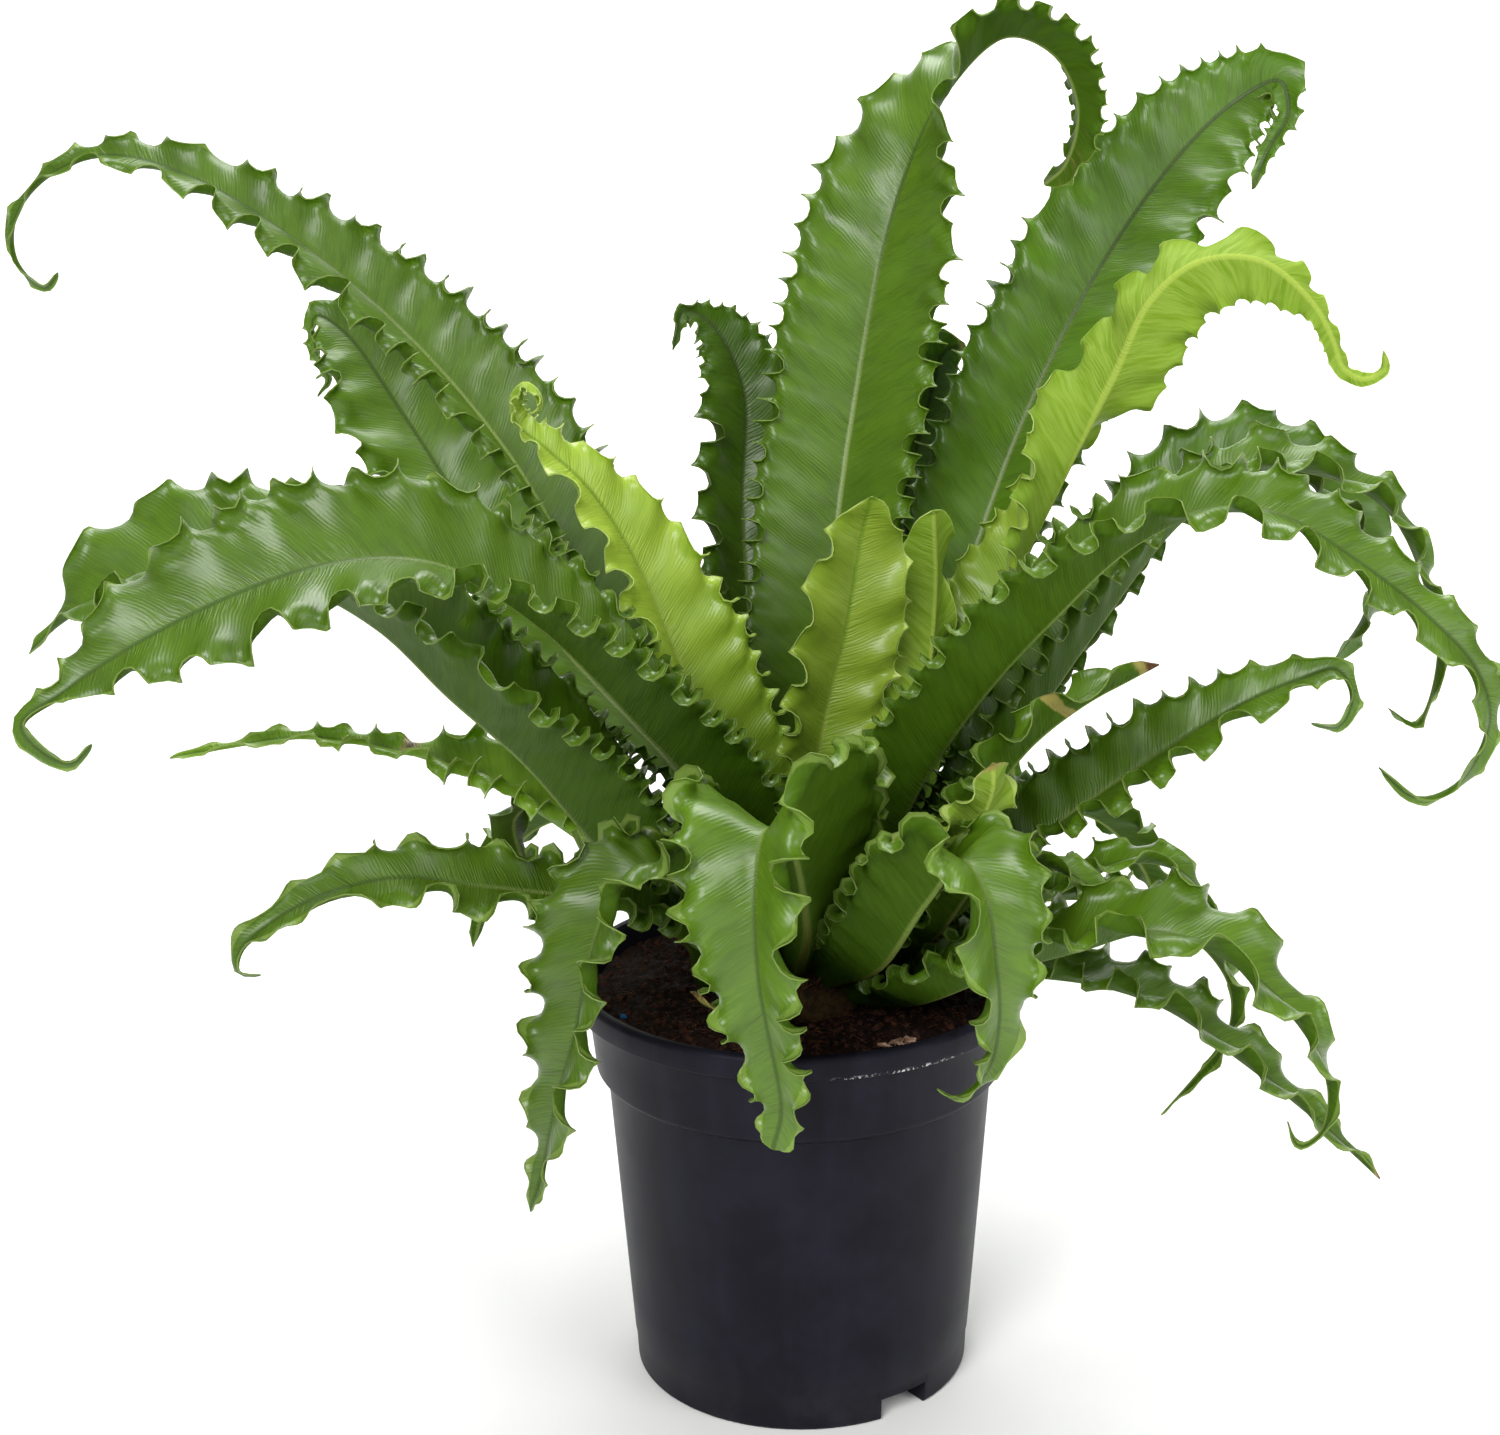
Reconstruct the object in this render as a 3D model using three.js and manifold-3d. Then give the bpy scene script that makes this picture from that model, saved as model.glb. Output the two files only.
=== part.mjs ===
// A potted bird's nest fern of the kind with waved, curled fronds: a plastic nursery pot, its soil,
// the crown of the plant and one closed solid for each frond. Millimetres, +Z up, origin on the
// pot's axis at its foot, with the side that is seen first facing -Y.

import * as THREE from "three";
import { mergeVertices } from "three/addons/utils/BufferGeometryUtils.js";
import Module from "manifold-3d";

const wasm = await Module();
wasm.setup();

// Driving sizes of the pot
const POT_HEIGHT = 159;
const FOOT_RADIUS = 63.6;
const FOOT_STEP_HEIGHT = 13;
const FOOT_STEP = 0.4;
const WALL_TOP_RADIUS = 72.4;
const WALL_TOP = 120.6;
const SHOULDER = 1.6;
const BAND_BOTTOM = 123.8;
const BAND_BOTTOM_RADIUS = 76.6;
const BAND_TOP_RADIUS = 79.4;
const LIP_RADIUS = 85;
const LIP_BOTTOM = 150.1;
const LIP_INNER_RADIUS = 80.7;
const LIP_ROUNDING = 2.2;
const LIP_DRAFT = 0.4;
const LIP_INNER_CHAMFER = [0.5, 0.2];
const LIP_INNER_DROP = 1;
const CORNER_ROUNDING = 1.6;
const WALL = 1.3;
const FLOOR = 1.6;
const POT_SIDES = 56;
const ARC_STEPS = 4;

// Drain notches at the foot of the pot, closed inside by a pocket of the wall's thickness
const NOTCH_HEADINGS = [306, 126];
const NOTCH_WIDTH = 21;
const NOTCH_HEIGHT = 9;
const NOTCH_DEPTH = 12;
const CUT_BELOW_FOOT = -1;

// The clearance between two pieces that touch on the real plant
const GAP = 0.3;

// Soil: its top dips towards the crown and is a little lumpy
const SOIL_TOP_AT_WALL = 150;
const SOIL_TOP_AT_CROWN = 147.3;
const SOIL_DIP_FROM = 29;
const SOIL_DIP_TO = 46;
const SOIL_LUMP = 0.55;
const SOIL_LUMP_AT_CROWN = 0.3;
const SOIL_EDGE = 0.2;
const SOIL_SIDES = 36;
const SOIL_RINGS = 7;
const LUMP_WAVES = {
  broad: [6.1, 7.3],
  slanted: [4.7, 9.1],
  fine: [2.9, 3.7],
  fineShare: 0.6,
  turns: [1.3, 0.6],
};

// Crown: a dome that the fronds stand on, with a tapered root below it in the soil
const CROWN_RADIUS = 25;
const CROWN_HEIGHT = 149;
const ROOT_RADIUS = 19;
const ROOT_BOTTOM = 120;
const CROWN_SIDES = 28;

// Vertices closer than this are one
const MERGE = 1e-3;

// Fronds: sizes that all of them share
const BLADE = 1.0;
const BASE_WIDTH = 9;
const TAIL_WIDTH = 6.4;
const TAIL_NARROWS_BY = 0.7;
const STRAIGHT_START = 14;
const WIDEST_AT = 0.45;
const WAVE_HEIGHT = 3.6;
const WAVE_SHARE = 0.18;
const WAVE_GROWS_OVER = 80;
const ROLLED_SHARE = 0.16;
const TOOTHED_FROM = 19;
const WAVE_SHIFT = 2.2;
const WAVE_STRETCH = 1.3;
const STOP_CLEARANCE = 4;
const FEWEST_STOPS = 6;
const RIB_STEP = 22;
const TAIL_STEP = 12;
const FRAME_STEP = 2;
const SAMPLES_PER_SPAN = 20;
const STEEPEST_FOLD = 0.45;

const ROUGHNESS = { pot: 0.42, soil: 0.95, crown: 0.9, frond: 0.45 };
const COLOURS = {
  pot: 0x2b2a31,
  soil: 0x3a2418,
  crown: 0x5d4127,
  dark: 0x2f6426,
  mid: 0x4a8230,
  light: 0x74a53f,
  young: 0x9fc24e,
};

// One row for each frond, seen from its base: heading and rise of the midrib where it leaves the
// crown (degrees), widest blade and length of the margin's first wave (mm), the share of the length
// that is a bare curled tail, how early the blade narrows (taper) and reaches its width (full), then
// along the length how far each half is folded up and how far the blade is rolled about its midrib
// (degrees), and the midrib's route in mm.
const FRONDS = [
  // Left side, from the longest frond down
  { name: "frond_left_long", tone: "mid", heading: 166, rise: 50, width: 59,
    pitch: 12, tail: 0.14, taper: 1.2, full: 0.3,
    fold: [62, 42, 34, 25, 18], roll: [0, 8, 22, 30, 30, 20],
    path: [[-36, 18, 223], [-61, 32, 268], [-82, 44, 304], [-107, 56, 345], [-142, 70, 385],
      [-184, 86, 419], [-226, 95, 444], [-258, 98, 452], [-282, 100, 443], [-294, 99, 428],
      [-294, 97, 413], [-284, 95, 403], [-278, 93, 409]] },
  { name: "frond_left_rear", tone: "mid", heading: 136, rise: 47, width: 56,
    pitch: 14, tail: 0.1, taper: 8, full: 0.3,
    fold: [60, 35, 20, 15], roll: [0, 15, 25, 20],
    path: [[-41, 52, 212], [-92, 92, 260], [-130, 114, 311], [-154, 128, 346], [-176, 136, 377],
      [-188, 138, 384], [-188, 136, 371], [-183, 133, 359], [-188, 131, 353]] },
  { name: "frond_left_front_arch", tone: "mid", heading: 203, rise: 52, width: 58,
    pitch: 12, tail: 0.12, taper: 5, full: 0.3,
    fold: [62, 50, 35, 15, 12], roll: [0, 0, 20, 30, 20],
    path: [[-23, -30, 222], [-56, -48, 271], [-87, -64, 310], [-113, -78, 332], [-130, -88, 339],
      [-154, -100, 340], [-182, -112, 333], [-212, -124, 320], [-234, -133, 307], [-245, -136, 299],
      [-238, -138, 290], [-230, -138, 287], [-223, -138, 293]] },
  { name: "frond_left_mid", tone: "mid", heading: 188, rise: 38, width: 52,
    pitch: 12, tail: 0.04, taper: 6, full: 0.3,
    fold: [62, 50, 35, 20], roll: [0, 0, 10, 20, 20],
    path: [[-46, -9, 184], [-70, -18, 212], [-97, -23, 248], [-122, -35, 277], [-145, -37, 302],
      [-171, -42, 319], [-204, -46, 326], [-231, -48, 321], [-252, -49, 309], [-264, -49, 298]] },
  { name: "frond_left_small", tone: "light", heading: 174, rise: 22, width: 44,
    pitch: 12, tail: 0.4, taper: 1.2, full: 0.3,
    fold: [60, 35, 20], roll: [0, 20, 20],
    path: [[-59, 12, 188], [-89, 20, 210], [-119, 30, 226], [-150, 40, 233], [-190, 52, 235],
      [-219, 60, 229], [-244, 66, 223]] },
  { name: "frond_left_low", tone: "mid", heading: 202, rise: 13, width: 34,
    pitch: 12, tail: 0.12, taper: 2.2, full: 0.3,
    fold: [60, 35, 15], roll: [0, 30, 30, 0],
    path: [[-40, -24, 178], [-60, -44, 200], [-83, -68, 214], [-109, -90, 226], [-133, -108, 236],
      [-154, -124, 237], [-170, -134, 232], [-181, -138, 223], [-182, -139, 216], [-175, -139, 215]]
      },
  { name: "frond_left_rear_hanging", tone: "dark", heading: 158, rise: 14, width: 22,
    pitch: 12, tail: 0, taper: 2.2, full: 0.3,
    fold: [60, 35, 15], roll: [0, 0],
    path: [[-45, 26, 178], [-75, 44, 198], [-97, 56, 207], [-110, 64, 197], [-108, 68, 178],
      [-102, 70, 158]] },
  // Upright fronds in the middle
  { name: "frond_tall_centre", tone: "mid", heading: 74, rise: 66, width: 64,
    pitch: 12, tail: 0, taper: 2.4, full: 0.3,
    fold: [60, 30, 20, 20], roll: [0, 0, 0, 0, 0, 0, 15, 70, 130, 155],
    path: [[5, 42, 219], [13, 68, 275], [24, 92, 348], [40, 108, 423], [60, 112, 469],
      [83, 108, 491], [101, 98, 484], [109, 90, 465], [104, 86, 445], [96, 84, 438]] },
  { name: "frond_rear_centre_left", tone: "dark", heading: 112, rise: 58, width: 44,
    pitch: 12, tail: 0.08, taper: 5, full: 0.3,
    fold: [60, 35, 15], roll: [0, 0],
    path: [[-10, 66, 219], [-16, 92, 261], [-19, 110, 313], [-18, 118, 356], [-30, 118, 382],
      [-41, 112, 388], [-45, 106, 374]] },
  { name: "frond_rear_centre_right", tone: "dark", heading: 86, rise: 43, width: 48,
    pitch: 12, tail: 0, taper: 4, full: 0.3,
    fold: [60, 35, 20], roll: [0, 0],
    path: [[15, 86, 212], [33, 118, 253], [47, 140, 306], [58, 150, 345], [64, 150, 365],
      [72, 146, 368]] },
  { name: "frond_tall_right", tone: "dark", heading: 53, rise: 57, width: 62,
    pitch: 12, tail: 0.08, taper: 4.5, full: 0.3,
    fold: [60, 35, 20, 20], roll: [0, -15, -25, -25],
    path: [[37, 54, 214], [60, 84, 262], [91, 114, 339], [120, 134, 393], [155, 150, 440],
      [180, 154, 463], [195, 150, 470], [198, 145, 458], [190, 142, 444], [184, 140, 429]] },
  { name: "frond_twisted_right", tone: "young", heading: 23, rise: 59, width: 52,
    pitch: 12, tail: 0.12, taper: 5, full: 0.3,
    fold: [62, 50, 40, 40, 35, 30], roll: [0, 0, 0, 0, 40, 140, 150, 130, 130],
    path: [[41, 19, 198], [57, 34, 240], [79, 46, 288], [103, 58, 334], [122, 66, 370],
      [135, 70, 396], [153, 72, 410], [176, 72, 410], [196, 70, 394], [204, 69, 380],
      [208, 68, 370], [216, 67, 366], [223, 66, 370], [222, 65, 377]] },
  // Young, pale fronds and the bud
  { name: "frond_young_left", tone: "young", heading: 178, rise: 69, width: 46,
    pitch: 12, tail: 0.16, taper: 1.1, full: 0.3,
    fold: [60, 30, 10], roll: [0, 30, 40, 30, 0],
    path: [[-24, 6, 224], [-40, 3, 270], [-56, 0, 313], [-72, -8, 343], [-86, -14, 359],
      [-97, -17, 370], [-98, -17, 379], [-93, -17, 384], [-88, -17, 380], [-88, -17, 374],
      [-92, -17, 373]] },
  { name: "frond_young_centre", tone: "young", heading: 110, rise: 86, width: 38,
    pitch: 12, tail: 0, taper: 5, full: 0.3,
    fold: [60, 30, 20], roll: [0, 0, 0],
    path: [[2, 7, 199], [9, 6, 246], [18, 4, 288], [24, 0, 326], [27, -8, 340]] },
  { name: "frond_young_right", tone: "young", heading: 359, rise: 70, width: 34,
    pitch: 12, tail: 0, taper: 5, full: 0.3,
    fold: [60, 30, 20], roll: [0, 40, 60],
    path: [[41, -3, 224], [49, 17, 268], [52, 27, 299], [51, 22, 328]] },
  { name: "frond_bud", tone: "young", heading: 307, rise: 51, width: 28,
    pitch: 12, tail: 0, taper: 6, full: 0.6,
    fold: [60, 25, 5], roll: [0, 0],
    path: [[36, -52, 205], [48, -68, 232], [60, -80, 244], [64, -84, 256], [64, -86, 266]] },
  // Fronds that hang over the front of the rim
  { name: "frond_hanging_left", tone: "mid", heading: 233, rise: 30, width: 43,
    pitch: 12, tail: 0.08, taper: 2.2, full: 0.3,
    fold: [60, 35, 15], roll: [0, 0],
    path: [[-28, -60, 197], [-46, -92, 230], [-61, -106, 231], [-70, -114, 212], [-76, -116, 184],
      [-84, -114, 155], [-89, -112, 132], [-94, -110, 115]] },
  { name: "frond_hanging_front", tone: "mid", heading: 270, rise: 36, width: 78,
    pitch: 12, tail: 0, taper: 0.65, full: 0.42,
    fold: [62, 40, 12], roll: [0, 0],
    path: [[2, -64, 200], [-4, -91, 240], [-13, -114, 252], [-16, -126, 233], [-15, -128, 206],
      [-11, -124, 180], [-8, -120, 156], [-11, -116, 140]] },
  { name: "frond_hanging_right", tone: "mid", heading: 298, rise: 26, width: 48,
    pitch: 12, tail: 0.1, taper: 1.2, full: 0.3,
    fold: [60, 40, 10], roll: [0, 0],
    path: [[28, -66, 186], [42, -92, 220], [53, -110, 240], [59, -122, 231], [62, -124, 211],
      [64, -118, 187], [61, -110, 165], [51, -104, 153], [45, -102, 155]] },
  { name: "frond_soil_stub", tone: "dark", heading: 250, rise: 9, width: 14,
    pitch: 12, tail: 0, taper: 2.2, full: 0.3,
    fold: [50, 35, 15], roll: [0, 0],
    path: [[-13, -46, 160], [-22, -54, 161], [-33, -60, 169], [-39, -62, 175]] },
  // Right side, from the front arch round and down
  { name: "frond_right_front_arch", tone: "mid", heading: 343, rise: 50, width: 58,
    pitch: 12, tail: 0.1, taper: 0.65, full: 0.3,
    fold: [62, 50, 40, 15, 12], roll: [0, 0, 0, -25, -40, -30],
    path: [[29, -30, 208], [43, -38, 244], [65, -46, 280], [89, -54, 310], [111, -62, 334],
      [133, -70, 347], [156, -78, 348], [183, -88, 333], [205, -94, 316], [220, -96, 300],
      [226, -96, 282], [218, -94, 260], [205, -92, 254], [192, -90, 264]] },
  { name: "frond_right_mid_arch", tone: "mid", heading: 2, rise: 45, width: 50,
    pitch: 12, tail: 0.06, taper: 0.8, full: 0.3,
    fold: [62, 45, 30, 20], roll: [0, 0, -10, -25, -20],
    path: [[52, -6, 200], [81, 2, 246], [110, 12, 286], [140, 22, 322], [167, 28, 340],
      [197, 30, 337], [220, 31, 323], [234, 30, 296], [240, 28, 268], [233, 27, 243],
      [222, 26, 249]]
      },
  { name: "frond_right_rear_arch", tone: "dark", heading: 26, rise: 38, width: 46,
    pitch: 12, tail: 0, taper: 2.6, full: 0.3,
    fold: [62, 45, 20], roll: [0, -10, -10],
    path: [[59, 38, 187], [95, 58, 238], [127, 74, 284], [154, 84, 321], [178, 88, 331],
      [206, 90, 319], [227, 88, 292], [225, 84, 271], [213, 80, 253]] },
  { name: "frond_right_rising", tone: "mid", heading: 2, rise: 30, width: 42,
    pitch: 12, tail: 0.14, taper: 1.5, full: 0.3,
    fold: [62, 40, 20], roll: [0, -30, -30],
    path: [[55, 6, 174], [79, 5, 198], [108, 0, 223], [137, -6, 246], [162, -10, 263],
      [181, -12, 272], [193, -14, 276], [199, -14, 266], [195, -14, 255], [185, -14, 256]] },
  { name: "frond_right_torn", tone: "mid", heading: 341, rise: 34, width: 32,
    pitch: 12, tail: 0, taper: 5, full: 0.3,
    fold: [60, 40, 20], roll: [0, 0],
    path: [[47, -26, 201], [65, -36, 234], [81, -44, 259], [99, -48, 275], [114, -50, 284],
      [124, -50, 289]] },
  { name: "frond_right_short", tone: "mid", heading: 330, rise: 22, width: 24,
    pitch: 12, tail: 0, taper: 2.2, full: 0.3,
    fold: [60, 35, 15], roll: [0, 0],
    path: [[49, -39, 187], [65, -50, 213], [83, -58, 220], [99, -64, 214], [112, -68, 204]] },
  { name: "frond_right_thin", tone: "mid", heading: 352, rise: 11, width: 24,
    pitch: 12, tail: 0.08, taper: 2.2, full: 0.3,
    fold: [60, 40, 20], roll: [0, 0],
    path: [[53, -8, 162], [77, -18, 183], [98, -24, 199], [119, -30, 210], [135, -33, 208],
      [146, -34, 196], [151, -34, 185]] },
  { name: "frond_right_low_arch", tone: "mid", heading: 323, rise: 7, width: 44,
    pitch: 12, tail: 0.12, taper: 2.2, full: 0.3,
    fold: [60, 30, 10], roll: [0, -15, -20, -10],
    path: [[45, -56, 169], [73, -78, 190], [94, -88, 200], [116, -98, 210], [136, -102, 205],
      [154, -106, 193], [170, -108, 174], [177, -108, 155], [175, -108, 140], [168, -107, 135],
      [164, -106, 143]] },
  { name: "frond_right_low", tone: "mid", heading: 340, rise: 6, width: 28,
    pitch: 12, tail: 0.08, taper: 2.2, full: 0.3,
    fold: [60, 35, 15], roll: [0, 0],
    path: [[54, -33, 169], [78, -46, 174], [106, -54, 173], [130, -58, 165], [155, -61, 147],
      [177, -63, 129], [194, -64, 113], [207, -64, 100]] },
  { name: "frond_right_low_rear", tone: "mid", heading: 18, rise: 16, width: 26,
    pitch: 12, tail: 0.2, taper: 2.2, full: 0.3,
    fold: [60, 35, 20], roll: [0, 0],
    path: [[59, 26, 162], [95, 44, 168], [131, 50, 163], [161, 52, 144], [172, 50, 126],
      [170, 46, 107], [158, 42, 93], [144, 38, 78]] },
  { name: "frond_right_stub", tone: "mid", heading: 8, rise: 6, width: 18,
    pitch: 12, tail: 0, taper: 2.2, full: 0.3,
    fold: [55, 35, 20], roll: [0, 0],
    path: [[58, 9, 164], [83, 13, 167], [100, 15, 155], [112, 16, 145], [124, 12, 143],
      [134, 13, 149]] },
  // Back, which the camera does not see
  { name: "frond_rear_1", tone: "mid", heading: 42, rise: 10, width: 36,
    pitch: 12, tail: 0.1, taper: 2.2, full: 0.3,
    fold: [60, 35, 15], roll: [0, 0],
    path: [[58, 52, 174], [90, 80, 188], [122, 108, 180], [148, 130, 148], [160, 140, 106]] },
  { name: "frond_rear_2", tone: "mid", heading: 64, rise: 14, width: 42,
    pitch: 12, tail: 0.1, taper: 2.2, full: 0.3,
    fold: [60, 35, 15], roll: [0, 0],
    path: [[34, 68, 180], [60, 122, 212], [80, 170, 216], [96, 206, 186], [104, 226, 144]] },
  { name: "frond_rear_3", tone: "mid", heading: 90, rise: 10, width: 38,
    pitch: 12, tail: 0.1, taper: 2.2, full: 0.3,
    fold: [60, 35, 15], roll: [0, 0],
    path: [[0, 78, 176], [-2, 122, 186], [-4, 166, 174], [-6, 196, 142], [-8, 208, 104]] },
  { name: "frond_rear_4", tone: "mid", heading: 112, rise: 20, width: 42,
    pitch: 12, tail: 0.1, taper: 2.2, full: 0.3,
    fold: [60, 35, 15], roll: [0, 0],
    path: [[-28, 68, 192], [-50, 122, 224], [-72, 170, 228], [-90, 206, 198], [-100, 226, 154]] },
  { name: "frond_rear_5", tone: "mid", heading: 132, rise: 8, width: 35,
    pitch: 12, tail: 0.1, taper: 2.2, full: 0.3,
    fold: [60, 35, 15], roll: [0, 0],
    path: [[-42, 52, 174], [-68, 84, 186], [-100, 116, 178], [-126, 142, 146], [-138, 152, 108]] },
];

const radians = THREE.MathUtils.degToRad;

function smooth(x) {
  const c = THREE.MathUtils.clamp(x, 0, 1);
  return c * c * (3 - 2 * c);
}

// The value at share u of a list that is spread evenly over 0 to 1.
function along(list, u) {
  const place = THREE.MathUtils.clamp(u, 0, 1) * (list.length - 1);
  const before = Math.min(Math.floor(place), list.length - 2);
  return THREE.MathUtils.lerp(list[before], list[before + 1], place - before);
}

// Points on an arc about (r, z), from one angle to another in degrees.
function arc(r, z, radius, from, to) {
  return Array.from({ length: ARC_STEPS + 1 }, (_, i) => {
    const turn = radians(THREE.MathUtils.lerp(from, to, i / ARC_STEPS));
    return [r + radius * Math.cos(turn), z + radius * Math.sin(turn)];
  });
}

// A profile of [radius, height] turned about the Z axis.
function turned(profile, sides) {
  const points = profile.map(([r, z]) => new THREE.Vector2(r, z));
  return new THREE.LatheGeometry(points, sides).rotateX(Math.PI / 2);
}

function toSolid(geometry) {
  const bare = geometry.clone();
  bare.deleteAttribute("normal");
  bare.deleteAttribute("uv");
  const merged = mergeVertices(bare, MERGE);
  return new wasm.Manifold(
    new wasm.Mesh({
      numProp: 3,
      vertProperties: merged.attributes.position.array,
      triVerts: new Uint32Array(merged.index.array),
    }),
  );
}

function toGeometry(solid) {
  const mesh = solid.getMesh();
  const geometry = new THREE.BufferGeometry();
  geometry.setAttribute("position", new THREE.BufferAttribute(mesh.vertProperties, 3));
  geometry.setIndex(new THREE.BufferAttribute(mesh.triVerts, 1));
  geometry.computeVertexNormals();
  return geometry;
}

function piece(name, geometry, colour, roughness) {
  const material = new THREE.MeshStandardMaterial({ color: colour, roughness, metalness: 0 });
  const mesh = new THREE.Mesh(geometry, material);
  mesh.name = name;
  return mesh;
}

// Pot

// The outer radius of the lower wall at a height, and the radius inside it.
function wallRadius(z) {
  return THREE.MathUtils.lerp(FOOT_RADIUS, WALL_TOP_RADIUS, z / WALL_TOP);
}

function outerProfile() {
  const corner = FOOT_RADIUS - CORNER_ROUNDING;
  return [
    ...arc(corner, CORNER_ROUNDING, CORNER_ROUNDING, -90, 0),
    [wallRadius(FOOT_STEP_HEIGHT) - FOOT_STEP, FOOT_STEP_HEIGHT],
    [wallRadius(FOOT_STEP_HEIGHT), FOOT_STEP_HEIGHT + FOOT_STEP],
    [WALL_TOP_RADIUS, WALL_TOP],
    [WALL_TOP_RADIUS + SHOULDER, WALL_TOP + SHOULDER],
    [BAND_BOTTOM_RADIUS, BAND_BOTTOM],
    [BAND_TOP_RADIUS, LIP_BOTTOM],
    [LIP_RADIUS - LIP_DRAFT, LIP_BOTTOM],
    ...arc(LIP_RADIUS - LIP_ROUNDING, POT_HEIGHT - LIP_ROUNDING, LIP_ROUNDING, 0, 90),
  ];
}

// The inside of the pot, from the lip down to the floor, drawn in by a clearance.
function innerProfile(clearance) {
  const floor = FLOOR + clearance;
  return [
    [BAND_TOP_RADIUS - WALL - clearance, LIP_BOTTOM],
    [BAND_BOTTOM_RADIUS - WALL - clearance, BAND_BOTTOM],
    [WALL_TOP_RADIUS - WALL - clearance, WALL_TOP],
    [wallRadius(FLOOR) - WALL - clearance, floor + CORNER_ROUNDING],
    [wallRadius(FLOOR) - WALL - clearance - CORNER_ROUNDING, floor],
  ];
}

function potShell() {
  const outer = outerProfile();
  const inner = innerProfile(0);
  const [chamferIn, chamferDown] = LIP_INNER_CHAMFER;
  const lip = [
    [LIP_INNER_RADIUS + chamferIn, POT_HEIGHT - chamferDown],
    [LIP_INNER_RADIUS, POT_HEIGHT - LIP_INNER_DROP],
  ];
  return turned([[0, 0], ...outer, ...lip, ...inner, [0, FLOOR]], POT_SIDES);
}

// A block at the foot, from a depth inside the wall out past it.
function footBlock(heading, width, depth, bottom, top) {
  const length = depth + NOTCH_DEPTH;
  const block = new THREE.BoxGeometry(length, width, top - bottom);
  block.translate(FOOT_RADIUS - depth + length / 2, 0, (top + bottom) / 2);
  return toSolid(block.rotateZ(radians(heading)));
}

function pot() {
  const filled = toSolid(turned([[0, 0], ...outerProfile(), [0, POT_HEIGHT]], POT_SIDES));
  let body = toSolid(potShell());
  for (const heading of NOTCH_HEADINGS) {
    const [width, depth, top] = [NOTCH_WIDTH + 2 * WALL, NOTCH_DEPTH + WALL, NOTCH_HEIGHT + WALL];
    const liner = footBlock(heading, width, depth, 0, top);
    body = body.add(liner.intersect(filled));
  }
  for (const heading of NOTCH_HEADINGS) {
    body = body.subtract(footBlock(heading, NOTCH_WIDTH, NOTCH_DEPTH, CUT_BELOW_FOOT, NOTCH_HEIGHT));
  }
  return piece("pot", toGeometry(body), COLOURS.pot, ROUGHNESS.pot);
}

// Soil

// Low lumps over the plane, never over three times the lump height.
function lump(x, y) {
  const { broad, slanted, fine, fineShare, turns } = LUMP_WAVES;
  const waves = Math.sin(x / broad[0] + turns[0]) * Math.cos(y / broad[1])
    + Math.sin((x + y) / slanted[0]) * Math.cos((x - y) / slanted[1] + turns[1])
    + fineShare * Math.sin(x / fine[0] + y / fine[1]);
  return SOIL_LUMP * waves;
}

function soilTop(x, y) {
  const r = Math.hypot(x, y);
  const rise = smooth((r - SOIL_DIP_FROM) / (SOIL_DIP_TO - SOIL_DIP_FROM));
  const plain = THREE.MathUtils.lerp(SOIL_TOP_AT_CROWN, SOIL_TOP_AT_WALL, rise);
  return plain + lump(x, y) * THREE.MathUtils.lerp(SOIL_LUMP_AT_CROWN, 1, rise);
}

function soil() {
  const hole = CROWN_RADIUS + GAP;
  const [, ...side] = innerProfile(GAP);
  const edge = BAND_TOP_RADIUS - WALL - GAP - SOIL_EDGE;
  const top = Array.from({ length: SOIL_RINGS + 1 }, (_, i) => {
    return [THREE.MathUtils.lerp(hole, edge, i / SOIL_RINGS), SOIL_TOP_AT_WALL];
  });
  const rootHole = [[0, ROOT_BOTTOM - GAP], [ROOT_RADIUS + GAP, ROOT_BOTTOM - GAP]];
  const profile = [[0, FLOOR + GAP], ...side.reverse(), ...top.reverse(), ...rootHole.reverse()];
  const shape = turned(profile, SOIL_SIDES);
  const place = shape.attributes.position;
  for (let i = 0; i < place.count; i++) {
    if (place.getZ(i) < SOIL_TOP_AT_WALL - MERGE) continue;
    place.setZ(i, soilTop(place.getX(i), place.getY(i)));
  }
  let body = toSolid(shape);
  for (const heading of NOTCH_HEADINGS) {
    const reach = WALL + GAP;
    const [width, depth, top] = [NOTCH_WIDTH + 2 * reach, NOTCH_DEPTH + reach, NOTCH_HEIGHT + reach];
    body = body.subtract(footBlock(heading, width, depth, CUT_BELOW_FOOT, top));
  }
  return piece("soil", toGeometry(body), COLOURS.soil, ROUGHNESS.soil);
}

// Crown

function crown() {
  const dome = arc(0, CROWN_HEIGHT, CROWN_RADIUS, 0, 90);
  const profile = [[0, ROOT_BOTTOM], [ROOT_RADIUS, ROOT_BOTTOM], ...dome];
  profile[profile.length - 1][0] = 0;
  return piece("crown", turned(profile, CROWN_SIDES), COLOURS.crown, ROUGHNESS.crown);
}

// Fronds

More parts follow.
